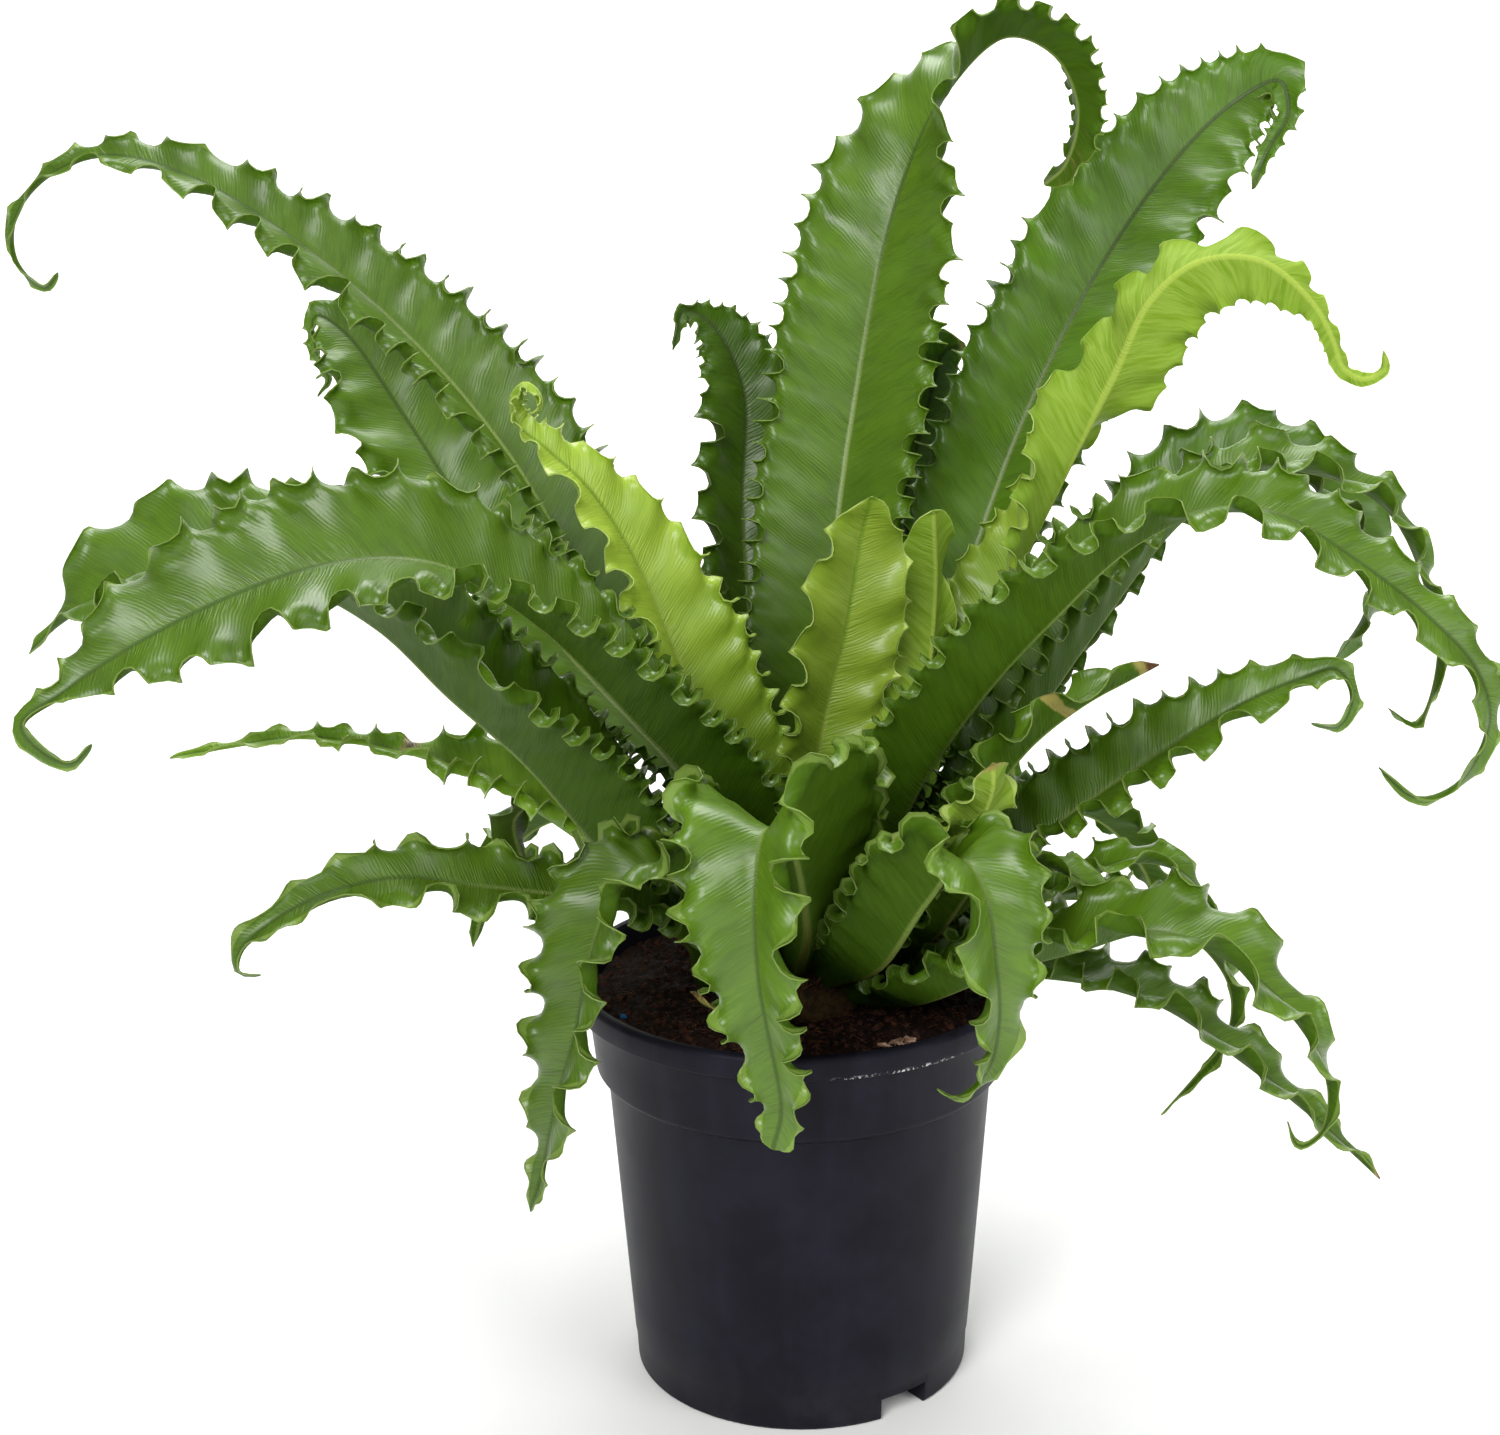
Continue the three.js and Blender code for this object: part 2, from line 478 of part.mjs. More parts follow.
// The midrib as even steps, each with its place, the way along it and the way across the blade.
function midrib(frond) {
  const heading = radians(frond.heading);
  const rise = radians(frond.rise);
  const outward = new THREE.Vector3(Math.cos(heading), Math.sin(heading), 0)
    .multiplyScalar(Math.cos(rise))
    .setZ(Math.sin(rise));
  const seat = [CROWN_RADIUS + GAP, CROWN_RADIUS + GAP + STRAIGHT_START].map((r) => {
    return outward.clone().multiplyScalar(r).setZ(CROWN_HEIGHT + r * outward.z);
  });
  const route = [...seat, ...frond.path.map((p) => new THREE.Vector3(...p))];
  const fine = new THREE.CatmullRomCurve3(route).getPoints(SAMPLES_PER_SPAN * (route.length - 1));
  const reach = [0];
  for (let i = 1; i < fine.length; i++) reach.push(reach[i - 1] + fine[i].distanceTo(fine[i - 1]));
  const length = reach[reach.length - 1];

  const count = Math.floor(length / FRAME_STEP) + 2;
  const places = [];
  let j = 0;
  for (let i = 0; i < count; i++) {
    const t = (length * i) / (count - 1);
    while (j < fine.length - 2 && reach[j + 1] < t) j++;
    const share = THREE.MathUtils.clamp((t - reach[j]) / (reach[j + 1] - reach[j]), 0, 1);
    places.push(fine[j].clone().lerp(fine[j + 1], share));
  }
  const steps = [];
  let across = new THREE.Vector3(Math.sin(heading), -Math.cos(heading), 0);
  places.forEach((place, i) => {
    const before = places[Math.max(i - 1, 0)];
    const after = places[Math.min(i + 1, count - 1)];
    const forward = after.clone().sub(before).normalize();
    across = across.clone().addScaledVector(forward, -across.dot(forward)).normalize();
    steps.push({ place, forward, across });
  });
  return { steps, length };
}

// The midrib's place at length t, with the way across the blade and its normal, rolled.
function frameAt(rib, frond, t) {
  const at = THREE.MathUtils.clamp(t / rib.length, 0, 1) * (rib.steps.length - 1);
  const i = Math.min(Math.floor(at), rib.steps.length - 2);
  const [a, b] = [rib.steps[i], rib.steps[i + 1]];
  const place = a.place.clone().lerp(b.place, at - i);
  const forward = a.forward.clone().lerp(b.forward, at - i).normalize();
  const flat = a.across.clone().lerp(b.across, at - i);
  flat.addScaledVector(forward, -flat.dot(forward)).normalize();
  const up = flat.clone().cross(forward);
  const roll = radians(along(frond.roll, t / rib.length));
  const across = flat.clone().multiplyScalar(Math.cos(roll)).addScaledVector(up, Math.sin(roll));
  const normal = up.multiplyScalar(Math.cos(roll)).addScaledVector(flat, -Math.sin(roll));
  return { place, across, normal };
}

// Half the blade's width at share u of the length.
function halfWidth(frond, u) {
  const widest = frond.width / 2;
  const bladeEnd = 1 - frond.tail;
  if (u > bladeEnd) return (TAIL_WIDTH / 2) * (1 - (TAIL_NARROWS_BY * (u - bladeEnd)) / frond.tail);
  const rising = THREE.MathUtils.lerp(BASE_WIDTH / 2, widest, smooth(u / frond.full));
  const gone = THREE.MathUtils.clamp((u - WIDEST_AT) / (bladeEnd - WIDEST_AT), 0, 1);
  const slim = TAIL_WIDTH / frond.width;
  return rising * (slim + (1 - slim) * (1 - gone ** frond.taper));
}

// How far the margin's wave has turned at length t, in radians. A wave grows longer towards the
// tip, up to its length at the crown times one plus the stretch.
function wavePhase(frond, length, t, side) {
  const turns = Math.log(1 + (WAVE_STRETCH * t) / length) * (length / (WAVE_STRETCH * frond.pitch));
  return 2 * Math.PI * turns + (side < 0 ? 0 : WAVE_SHIFT);
}

// The length at which the wave has turned so far.
function lengthAtPhase(frond, length, phase, side) {
  const turns = (phase - (side < 0 ? 0 : WAVE_SHIFT)) / (2 * Math.PI);
  return (Math.exp((turns * WAVE_STRETCH * frond.pitch) / length) - 1) * (length / WAVE_STRETCH);
}

// A point in the middle of the blade's thickness: side is -1 and 1 on the margins, 0 on the midrib.
function bladePoint(frond, rib, t, side) {
  const { place, across, normal } = frameAt(rib, frond, t);
  const u = Math.min(t / rib.length, 1);
  const half = halfWidth(frond, u);
  const fold = radians(along(frond.fold, u));
  const wave = Math.sin(wavePhase(frond, rib.length, t, side));
  const height = Math.min(WAVE_SHARE * half, WAVE_HEIGHT) * smooth(t / WAVE_GROWS_OVER);
  const reach = half * Math.abs(side) * (1 - ROLLED_SHARE * wave * wave);
  const lift = height * Math.abs(side) * wave;
  const point = place.clone()
    .addScaledVector(across, side * Math.cos(fold) * reach - side * Math.sin(fold) * lift)
    .addScaledVector(normal, Math.abs(side) * Math.sin(fold) * reach + Math.cos(fold) * lift);
  const skin = BLADE / 2 / Math.max(Math.cos(fold), STEEPEST_FOLD);
  return { point, offset: normal.multiplyScalar(skin) };
}

function evenStops(from, to, count) {
  return Array.from({ length: count }, (_, i) => from + ((to - from) * (i + 1)) / count);
}

// Stops on a margin: every crest and trough of its wave, which roll in from the margin, then steps
// down the tail. On a blade with halves broad enough, every crossing between a crest and a trough is
// a stop too, and stands out as a tooth.
function marginStops(frond, length, side) {
  const bladeEnd = length * (1 - frond.tail);
  const stops = [0];
  let quarter = Math.ceil(wavePhase(frond, length, 0, side) / (Math.PI / 2));
  for (;;) {
    const t = lengthAtPhase(frond, length, (quarter * Math.PI) / 2, side);
    if (t > bladeEnd - STOP_CLEARANCE) break;
    const crossing = quarter % 2 === 0;
    const shown = !crossing || halfWidth(frond, t / length) >= TOOTHED_FROM;
    if (shown && t > STOP_CLEARANCE) stops.push(t);
    quarter++;
  }
  if (frond.tail > 0) stops.push(bladeEnd, ...tailStops(bladeEnd, length));
  else stops.push(length);
  return stops;
}

function tailStops(bladeEnd, length) {
  return evenStops(bladeEnd, length, Math.max(2, Math.ceil((length - bladeEnd) / TAIL_STEP)));
}

function ribStops(frond, length) {
  const bladeEnd = length * (1 - frond.tail);
  if (frond.tail > 0) {
    const count = Math.max(FEWEST_STOPS - 1, Math.round(bladeEnd / RIB_STEP));
    return [0, ...evenStops(0, bladeEnd, count), ...tailStops(bladeEnd, length)];
  }
  return [0, ...evenStops(0, length, Math.max(FEWEST_STOPS, Math.round(length / RIB_STEP)))];
}

// Triangles between two rows of stops, always closing the shorter step next.
function strip(a, firstA, b, firstB) {
  const faces = [];
  let [i, j] = [0, 0];
  while (i < a.length - 1 || j < b.length - 1) {
    if (j === b.length - 1 || (i < a.length - 1 && a[i + 1] <= b[j + 1])) {
      faces.push([firstA + i, firstB + j, firstA + i + 1]);
      i++;
    } else {
      faces.push([firstA + i, firstB + j, firstB + j + 1]);
      j++;
    }
  }
  return faces;
}

function frondGeometry(frond) {
  const rib = midrib(frond);
  const left = marginStops(frond, rib.length, -1);
  const middle = ribStops(frond, rib.length);
  const right = marginStops(frond, rib.length, 1);
  const rows = [[left, -1], [middle, 0], [right, 1]];
  const stops = rows.flatMap(([row, side]) => row.map((t) => bladePoint(frond, rib, t, side)));
  const count = stops.length;
  const firstRight = left.length + middle.length;
  const faces = [
    ...strip(left, 0, middle, left.length),
    ...strip(middle, left.length, right, firstRight),
  ];

  const top = stops.map(({ point, offset }) => point.clone().add(offset));
  const under = stops.map(({ point, offset }) => point.clone().sub(offset));
  const leftEdge = left.map((_, i) => i);
  const rightEdge = right.map((_, i) => firstRight + i).reverse();
  const edge = [...leftEdge, firstRight - 1, ...rightEdge, left.length];
  const triangles = [];
  for (const [a, b, c] of faces) triangles.push(a, b, c, a + count, c + count, b + count);
  edge.forEach((a, i) => {
    const b = edge[(i + 1) % edge.length];
    triangles.push(a, b, b + count, a, b + count, a + count);
  });

  const geometry = new THREE.BufferGeometry().setFromPoints([...top, ...under]);
  geometry.setIndex(triangles);
  geometry.computeVertexNormals();
  return geometry;
}

const fern = new THREE.Group();
fern.add(pot(), soil(), crown());
for (const frond of FRONDS) {
  fern.add(piece(frond.name, frondGeometry(frond), COLOURS[frond.tone], ROUGHNESS.frond));
}

export default fern;
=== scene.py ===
# %% [markdown]
# # A potted bird's nest fern with waved, curled fronds
#
# The real plant is a ring of long strap-shaped fronds on one short crown, in peat, in a plain
# nursery pot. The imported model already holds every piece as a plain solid. This lesson keeps each
# piece in its place and makes its surface again with the detail that the eye expects: curled
# margins, a keel under each midrib, veins, crumbs of peat and the satin of moulded plastic.

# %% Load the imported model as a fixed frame
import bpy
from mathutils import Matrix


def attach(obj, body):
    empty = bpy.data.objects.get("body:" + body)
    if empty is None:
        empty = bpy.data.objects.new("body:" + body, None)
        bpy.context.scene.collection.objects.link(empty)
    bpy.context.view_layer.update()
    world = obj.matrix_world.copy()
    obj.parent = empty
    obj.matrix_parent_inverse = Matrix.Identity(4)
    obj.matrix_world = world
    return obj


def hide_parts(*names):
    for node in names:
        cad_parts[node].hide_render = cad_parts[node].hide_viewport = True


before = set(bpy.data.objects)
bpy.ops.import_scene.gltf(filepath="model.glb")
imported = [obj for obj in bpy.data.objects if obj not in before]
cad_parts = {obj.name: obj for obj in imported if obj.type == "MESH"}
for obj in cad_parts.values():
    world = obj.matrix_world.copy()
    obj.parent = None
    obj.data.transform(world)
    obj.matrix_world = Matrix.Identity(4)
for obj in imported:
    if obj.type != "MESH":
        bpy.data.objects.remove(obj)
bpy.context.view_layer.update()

# %% Modules and units
import math

import bmesh
import bpy
import numpy as np
from mathutils import Matrix, Vector, noise

MM = 0.001
FRAME_SIZE = (1500, 1435)
BODY = "root"

# %% [markdown]
# ## Camera
#
# The pot's lip, band and foot are circles, so the ellipses that they make in the photograph fix
# the camera: how high it stands, how far away it is and its focal length. The values below come
# from fitting those circles. The focal length is in pixels of the 1500 pixel wide photograph and
# turns into millimetres on a 36 mm sensor.

# %% Place the camera
SENSOR_MM = 36
CAMERA_TARGET = Vector((-16.9, 0, 256.7)) * MM
CAMERA_RISE = math.radians(17.01)
CAMERA_ROLL = math.radians(-0.76)
CAMERA_DISTANCE = 1009 * MM
FOCAL_PIXELS = 2768

camera_data = bpy.data.cameras.new("camera")
camera_data.sensor_width = SENSOR_MM
camera_data.lens = FOCAL_PIXELS / FRAME_SIZE[0] * SENSOR_MM
camera = bpy.data.objects.new("camera", camera_data)
bpy.context.collection.objects.link(camera)
away = Vector((0, -math.cos(CAMERA_RISE), math.sin(CAMERA_RISE)))
tilt = Matrix.Rotation(math.pi / 2 - CAMERA_RISE, 4, "X") @ Matrix.Rotation(CAMERA_ROLL, 4, "Z")
camera.matrix_world = Matrix.Translation(CAMERA_TARGET + away * CAMERA_DISTANCE) @ tilt
bpy.context.scene.camera = camera
bpy.context.scene.view_settings.view_transform = "Standard"
print(f"lens {camera_data.lens:.1f} mm")

# %% [markdown]
# ## Helpers for colours, nodes and meshes
#
# Colours are written as the hex values that a picture program shows. Blender calculates with
# linear light, so one function turns them. A second one adds a node with its settings and links,
# and materials and scattering trees are both made with it. A link may come from a socket or from a
# whole node, which then gives its first output, so a chain of nodes reads like a sum.

# %% Turn a hex colour to linear light
def linear(hex_value):
    """The linear colour of an sRGB hex value such as "4a8230"."""
    channels = [int(hex_value[i:i + 2], 16) / 255 for i in (0, 2, 4)]
    return [c / 12.92 if c <= 0.04045 else ((c + 0.055) / 1.055) ** 2.4 for c in channels] + [1.0]


print("mid green:", [round(c, 3) for c in linear("4a8230")])

# %% Add a node with its settings and links
MATH = "ShaderNodeMath"
MIX = "ShaderNodeMix"
NOISE = "ShaderNodeTexNoise"
RANGE = "ShaderNodeMapRange"
MIX_FIRST, MIX_SECOND = 6, 7     # The numbers of a Mix node's two colour sockets


def add(tree, kind, sockets=None, **settings):
    """A new node. sockets maps a socket's name or number to a value, a socket or a node."""
    made = tree.nodes.new(kind)
    for name, value in settings.items():
        setattr(made, name, value)
    for name, value in (sockets or {}).items():
        if isinstance(value, bpy.types.Node):
            value = next(socket for socket in value.outputs if socket.enabled)
        if isinstance(value, bpy.types.NodeSocket):
            tree.links.new(value, made.inputs[name])
        else:
            made.inputs[name].default_value = value
    return made


def new_material(name):
    """A material with an empty tree."""
    made = bpy.data.materials.new(name)
    made.use_nodes = True
    made.node_tree.nodes.clear()
    return made, made.node_tree


def paint(tree, colour, layers):
    """Lays colours over a colour, one after the other, each as (mask, strength, new colour)."""
    for mask, strength, new_colour in layers:
        amount = add(tree, MATH, {0: mask, 1: strength}, operation="MULTIPLY")
        colour = add(tree, MIX, {0: amount, MIX_FIRST: colour, MIX_SECOND: new_colour}, data_type="RGBA")
    return colour


def masks_of(tree, steps):
    """For each named step a mask that goes smoothly from 0 to 1 as its value goes from start to end."""
    return {name: add(tree, RANGE, {"Value": value, "From Min": start, "From Max": end},
                      interpolation_type="SMOOTHSTEP")
            for name, (value, start, end) in steps.items()}


print("node kinds by short name:", MATH, MIX, NOISE, RANGE)

# %% Make a mesh object and hand it to the frame
def mesh_object(name, points, faces, material, sharp=None):
    """A smooth shaded object from points in millimetres, with edges over the sharp angle kept crisp."""
    mesh = bpy.data.meshes.new(name)
    mesh.from_pydata((np.asarray(points) * MM).tolist(), [], [list(map(int, f)) for f in faces])
    mesh.shade_smooth()
    if sharp:
        mesh.set_sharp_from_angle(angle=math.radians(sharp))
    mesh.materials.append(material)
    made = bpy.data.objects.new(name, mesh)
    bpy.context.collection.objects.link(made)
    return made


def hand_over(piece, slot, *nodes):
    """The piece rides with the plant and stands for the nodes, which are hidden; slot is not used."""
    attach(piece, BODY)
    if nodes:
        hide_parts(*nodes)
    triangles = sum(len(p.vertices) - 2 for p in piece.data.polygons)
    print(piece.name, triangles, "triangles")


def smooth(x):
    """A smooth rise from 0 to 1 as x goes from 0 to 1."""
    clipped = np.clip(x, 0, 1)
    return clipped * clipped * (3 - 2 * clipped)


print("a smooth rise at a quarter:", smooth(0.25))

# %% [markdown]
# ## The routes of the fronds
#
# Each frond is read from the photograph: where it leaves the crown, how wide and how waved
# it is, and the points that its midrib passes, in millimetres. The same rows make the plain
# solids, so a frond made from them lies where its solid lies. Heading is the direction seen from
# above, rise is the slope at the crown. fold is how far each half stands up towards the other,
# and roll turns the whole blade about its midrib. pitch is the length of a wave, tail the share of
# the length that is a thin tail, taper how late the blade narrows and full where it is at its
# widest first. fold and roll are lists in degrees that run from the crown to the tip.

# %% The rows, one for each frond
def plan(name, tone, heading, rise, width, path, pitch=12, tail=0, taper=2.2, full=0.3,
         fold=(60, 35, 15), roll=(0, 0)):
    """One frond's values by name. What a row leaves out is as in most fronds."""
    return dict(name=name, tone=tone, heading=heading, rise=rise, width=width, path=path,
                pitch=pitch, tail=tail, taper=taper, full=full, fold=fold, roll=roll)


FRONDS = [
    # Left side, from the longest frond down
    plan("frond_left_long", "mid", heading=166, rise=50, width=59, tail=0.14, taper=1.2,
         fold=[62, 42, 34, 25, 18], roll=[0, 8, 22, 30, 30, 20],
         path=[(-36, 18, 223), (-61, 32, 268), (-82, 44, 304), (-107, 56, 345), (-142, 70, 385),
               (-184, 86, 419), (-226, 95, 444), (-258, 98, 452), (-282, 100, 443), (-294, 99, 428),
               (-294, 97, 413), (-284, 95, 403), (-278, 93, 409)]),
    plan("frond_left_rear", "mid", heading=136, rise=47, width=56, pitch=14, tail=0.1, taper=8,
         fold=[60, 35, 20, 15], roll=[0, 15, 25, 20],
         path=[(-41, 52, 212), (-92, 92, 260), (-130, 114, 311), (-154, 128, 346), (-176, 136, 377),
               (-188, 138, 384), (-188, 136, 371), (-183, 133, 359), (-188, 131, 353)]),
    plan("frond_left_front_arch", "mid", heading=203, rise=52, width=58, tail=0.12, taper=5,
         fold=[62, 50, 35, 15, 12], roll=[0, 0, 20, 30, 20],
         path=[(-23, -30, 222), (-56, -48, 271), (-87, -64, 310), (-113, -78, 332), (-130, -88, 339),
               (-154, -100, 340), (-182, -112, 333), (-212, -124, 320), (-234, -133, 307),
               (-245, -136, 299), (-238, -138, 290), (-230, -138, 287), (-223, -138, 293)]),
    plan("frond_left_mid", "mid", heading=188, rise=38, width=52, tail=0.04, taper=6,
         fold=[62, 50, 35, 20], roll=[0, 0, 10, 20, 20],
         path=[(-46, -9, 184), (-70, -18, 212), (-97, -23, 248), (-122, -35, 277), (-145, -37, 302),
               (-171, -42, 319), (-204, -46, 326), (-231, -48, 321), (-252, -49, 309), (-264, -49, 298)]),
    plan("frond_left_small", "light", heading=174, rise=22, width=44, tail=0.4, taper=1.2,
         fold=[60, 35, 20], roll=[0, 20, 20],
         path=[(-59, 12, 188), (-89, 20, 210), (-119, 30, 226), (-150, 40, 233), (-190, 52, 235),
               (-219, 60, 229), (-244, 66, 223)]),
    plan("frond_left_low", "mid", heading=202, rise=13, width=34, tail=0.12, roll=[0, 30, 30, 0],
         path=[(-40, -24, 178), (-60, -44, 200), (-83, -68, 214), (-109, -90, 226), (-133, -108, 236),
               (-154, -124, 237), (-170, -134, 232), (-181, -138, 223), (-182, -139, 216),
               (-175, -139, 215)]),
    plan("frond_left_rear_hanging", "dark", heading=158, rise=14, width=22,
         path=[(-45, 26, 178), (-75, 44, 198), (-97, 56, 207), (-110, 64, 197), (-108, 68, 178),
               (-102, 70, 158)]),
    # Upright fronds in the middle
    plan("frond_tall_centre", "mid", heading=74, rise=66, width=64, taper=2.4, fold=[60, 30, 20, 20],
         roll=[0, 0, 0, 0, 0, 0, 15, 70, 130, 155],
         path=[(5, 42, 219), (13, 68, 275), (24, 92, 348), (40, 108, 423), (60, 112, 469),
               (83, 108, 491), (101, 98, 484), (109, 90, 465), (104, 86, 445), (96, 84, 438)]),
    plan("frond_rear_centre_left", "dark", heading=112, rise=58, width=44, tail=0.08, taper=5,
         path=[(-10, 66, 219), (-16, 92, 261), (-19, 110, 313), (-18, 118, 356), (-30, 118, 382),
               (-41, 112, 388), (-45, 106, 374)]),
    plan("frond_rear_centre_right", "dark", heading=86, rise=43, width=48, taper=4, fold=[60, 35, 20],
         path=[(15, 86, 212), (33, 118, 253), (47, 140, 306), (58, 150, 345), (64, 150, 365),
               (72, 146, 368)]),
    plan("frond_tall_right", "dark", heading=53, rise=57, width=62, tail=0.08, taper=4.5,
         fold=[60, 35, 20, 20], roll=[0, -15, -25, -25],
         path=[(37, 54, 214), (60, 84, 262), (91, 114, 339), (120, 134, 393), (155, 150, 440),
               (180, 154, 463), (195, 150, 470), (198, 145, 458), (190, 142, 444), (184, 140, 429)]),
    plan("frond_twisted_right", "young", heading=23, rise=59, width=52, tail=0.12, taper=5,
         fold=[62, 50, 40, 40, 35, 30], roll=[0, 0, 0, 0, 40, 140, 150, 130, 130],
         path=[(41, 19, 198), (57, 34, 240), (79, 46, 288), (103, 58, 334), (122, 66, 370),
               (135, 70, 396), (153, 72, 410), (176, 72, 410), (196, 70, 394), (204, 69, 380),
               (208, 68, 370), (216, 67, 366), (223, 66, 370), (222, 65, 377)]),
    # Young, pale fronds and the bud
    plan("frond_young_left", "young", heading=178, rise=69, width=46, tail=0.16, taper=1.1,
         fold=[60, 30, 10], roll=[0, 30, 40, 30, 0],
         path=[(-24, 6, 224), (-40, 3, 270), (-56, 0, 313), (-72, -8, 343), (-86, -14, 359),
               (-97, -17, 370), (-98, -17, 379), (-93, -17, 384), (-88, -17, 380), (-88, -17, 374),
               (-92, -17, 373)]),
    plan("frond_young_centre", "young", heading=110, rise=86, width=38, taper=5, fold=[60, 30, 20],
         roll=[0, 0, 0],
         path=[(2, 7, 199), (9, 6, 246), (18, 4, 288), (24, 0, 326), (27, -8, 340)]),
    plan("frond_young_right", "young", heading=359, rise=70, width=34, taper=5, fold=[60, 30, 20],
         roll=[0, 40, 60],
         path=[(41, -3, 224), (49, 17, 268), (52, 27, 299), (51, 22, 328)]),
    plan("frond_bud", "young", heading=307, rise=51, width=28, taper=6, full=0.6, fold=[60, 25, 5],
         path=[(36, -52, 205), (48, -68, 232), (60, -80, 244), (64, -84, 256), (64, -86, 266)]),
    # Fronds that hang over the front of the rim
    plan("frond_hanging_left", "mid", heading=233, rise=30, width=43, tail=0.08,
         path=[(-28, -60, 197), (-46, -92, 230), (-61, -106, 231), (-70, -114, 212), (-76, -116, 184),
               (-84, -114, 155), (-89, -112, 132), (-94, -110, 115)]),
    plan("frond_hanging_front", "mid", heading=270, rise=36, width=78, taper=0.65, full=0.42,
         fold=[62, 40, 12],
         path=[(2, -64, 200), (-4, -91, 240), (-13, -114, 252), (-16, -126, 233), (-15, -128, 206),
               (-11, -124, 180), (-8, -120, 156), (-11, -116, 140)]),
    plan("frond_hanging_right", "mid", heading=298, rise=26, width=48, tail=0.1, taper=1.2,
         fold=[60, 40, 10],
         path=[(28, -66, 186), (42, -92, 220), (53, -110, 240), (59, -122, 231), (62, -124, 211),
               (64, -118, 187), (61, -110, 165), (51, -104, 153), (45, -102, 155)]),
    plan("frond_soil_stub", "dark", heading=250, rise=9, width=14, fold=[50, 35, 15],
         path=[(-13, -46, 160), (-22, -54, 161), (-33, -60, 169), (-39, -62, 175)]),
    # Right side, from the front arch round and down
    plan("frond_right_front_arch", "mid", heading=343, rise=50, width=58, tail=0.1, taper=0.65,
         fold=[62, 50, 40, 15, 12], roll=[0, 0, 0, -25, -40, -30],
         path=[(29, -30, 208), (43, -38, 244), (65, -46, 280), (89, -54, 310), (111, -62, 334),
               (133, -70, 347), (156, -78, 348), (183, -88, 333), (205, -94, 316), (220, -96, 300),
               (226, -96, 282), (218, -94, 260), (205, -92, 254), (192, -90, 264)]),
    plan("frond_right_mid_arch", "mid", heading=2, rise=45, width=50, tail=0.06, taper=0.8,
         fold=[62, 45, 30, 20], roll=[0, 0, -10, -25, -20],
         path=[(52, -6, 200), (81, 2, 246), (110, 12, 286), (140, 22, 322), (167, 28, 340),
               (197, 30, 337), (220, 31, 323), (234, 30, 296), (240, 28, 268), (233, 27, 243),
               (222, 26, 249)]),
    plan("frond_right_rear_arch", "dark", heading=26, rise=38, width=46, taper=2.6, fold=[62, 45, 20],
         roll=[0, -10, -10],
         path=[(59, 38, 187), (95, 58, 238), (127, 74, 284), (154, 84, 321), (178, 88, 331),
               (206, 90, 319), (227, 88, 292), (225, 84, 271), (213, 80, 253)]),
    plan("frond_right_rising", "mid", heading=2, rise=30, width=42, tail=0.14, taper=1.5,
         fold=[62, 40, 20], roll=[0, -30, -30],
         path=[(55, 6, 174), (79, 5, 198), (108, 0, 223), (137, -6, 246), (162, -10, 263),
               (181, -12, 272), (193, -14, 276), (199, -14, 266), (195, -14, 255), (185, -14, 256)]),
    plan("frond_right_torn", "mid", heading=341, rise=34, width=32, taper=5, fold=[60, 40, 20],
         path=[(47, -26, 201), (65, -36, 234), (81, -44, 259), (99, -48, 275), (114, -50, 284),
               (124, -50, 289)]),
    plan("frond_right_short", "mid", heading=330, rise=22, width=24,
         path=[(49, -39, 187), (65, -50, 213), (83, -58, 220), (99, -64, 214), (112, -68, 204)]),
    plan("frond_right_thin", "mid", heading=352, rise=11, width=24, tail=0.08, fold=[60, 40, 20],
         path=[(53, -8, 162), (77, -18, 183), (98, -24, 199), (119, -30, 210), (135, -33, 208),
               (146, -34, 196), (151, -34, 185)]),
    plan("frond_right_low_arch", "mid", heading=323, rise=7, width=44, tail=0.12, fold=[60, 30, 10],
         roll=[0, -15, -20, -10],
         path=[(45, -56, 169), (73, -78, 190), (94, -88, 200), (116, -98, 210), (136, -102, 205),
               (154, -106, 193), (170, -108, 174), (177, -108, 155), (175, -108, 140), (168, -107, 135),
               (164, -106, 143)]),
    plan("frond_right_low", "mid", heading=340, rise=6, width=28, tail=0.08,
         path=[(54, -33, 169), (78, -46, 174), (106, -54, 173), (130, -58, 165), (155, -61, 147),
               (177, -63, 129), (194, -64, 113), (207, -64, 100)]),
    plan("frond_right_low_rear", "mid", heading=18, rise=16, width=26, tail=0.2, fold=[60, 35, 20],
         path=[(59, 26, 162), (95, 44, 168), (131, 50, 163), (161, 52, 144), (172, 50, 126),
               (170, 46, 107), (158, 42, 93), (144, 38, 78)]),
    plan("frond_right_stub", "mid", heading=8, rise=6, width=18, fold=[55, 35, 20],
         path=[(58, 9, 164), (83, 13, 167), (100, 15, 155), (112, 16, 145), (124, 12, 143),
               (134, 13, 149)]),
    # Back, which the camera does not see
    plan("frond_rear_1", "mid", heading=42, rise=10, width=36, tail=0.1,
         path=[(58, 52, 174), (90, 80, 188), (122, 108, 180), (148, 130, 148), (160, 140, 106)]),
    plan("frond_rear_2", "mid", heading=64, rise=14, width=42, tail=0.1,
         path=[(34, 68, 180), (60, 122, 212), (80, 170, 216), (96, 206, 186), (104, 226, 144)]),
    plan("frond_rear_3", "mid", heading=90, rise=10, width=38, tail=0.1,
         path=[(0, 78, 176), (-2, 122, 186), (-4, 166, 174), (-6, 196, 142), (-8, 208, 104)]),
    plan("frond_rear_4", "mid", heading=112, rise=20, width=42, tail=0.1,
         path=[(-28, 68, 192), (-50, 122, 224), (-72, 170, 228), (-90, 206, 198), (-100, 226, 154)]),
    plan("frond_rear_5", "mid", heading=132, rise=8, width=35, tail=0.1,
         path=[(-42, 52, 174), (-68, 84, 186), (-100, 116, 178), (-126, 142, 146), (-138, 152, 108)]),
]
print("fronds:", len(FRONDS))
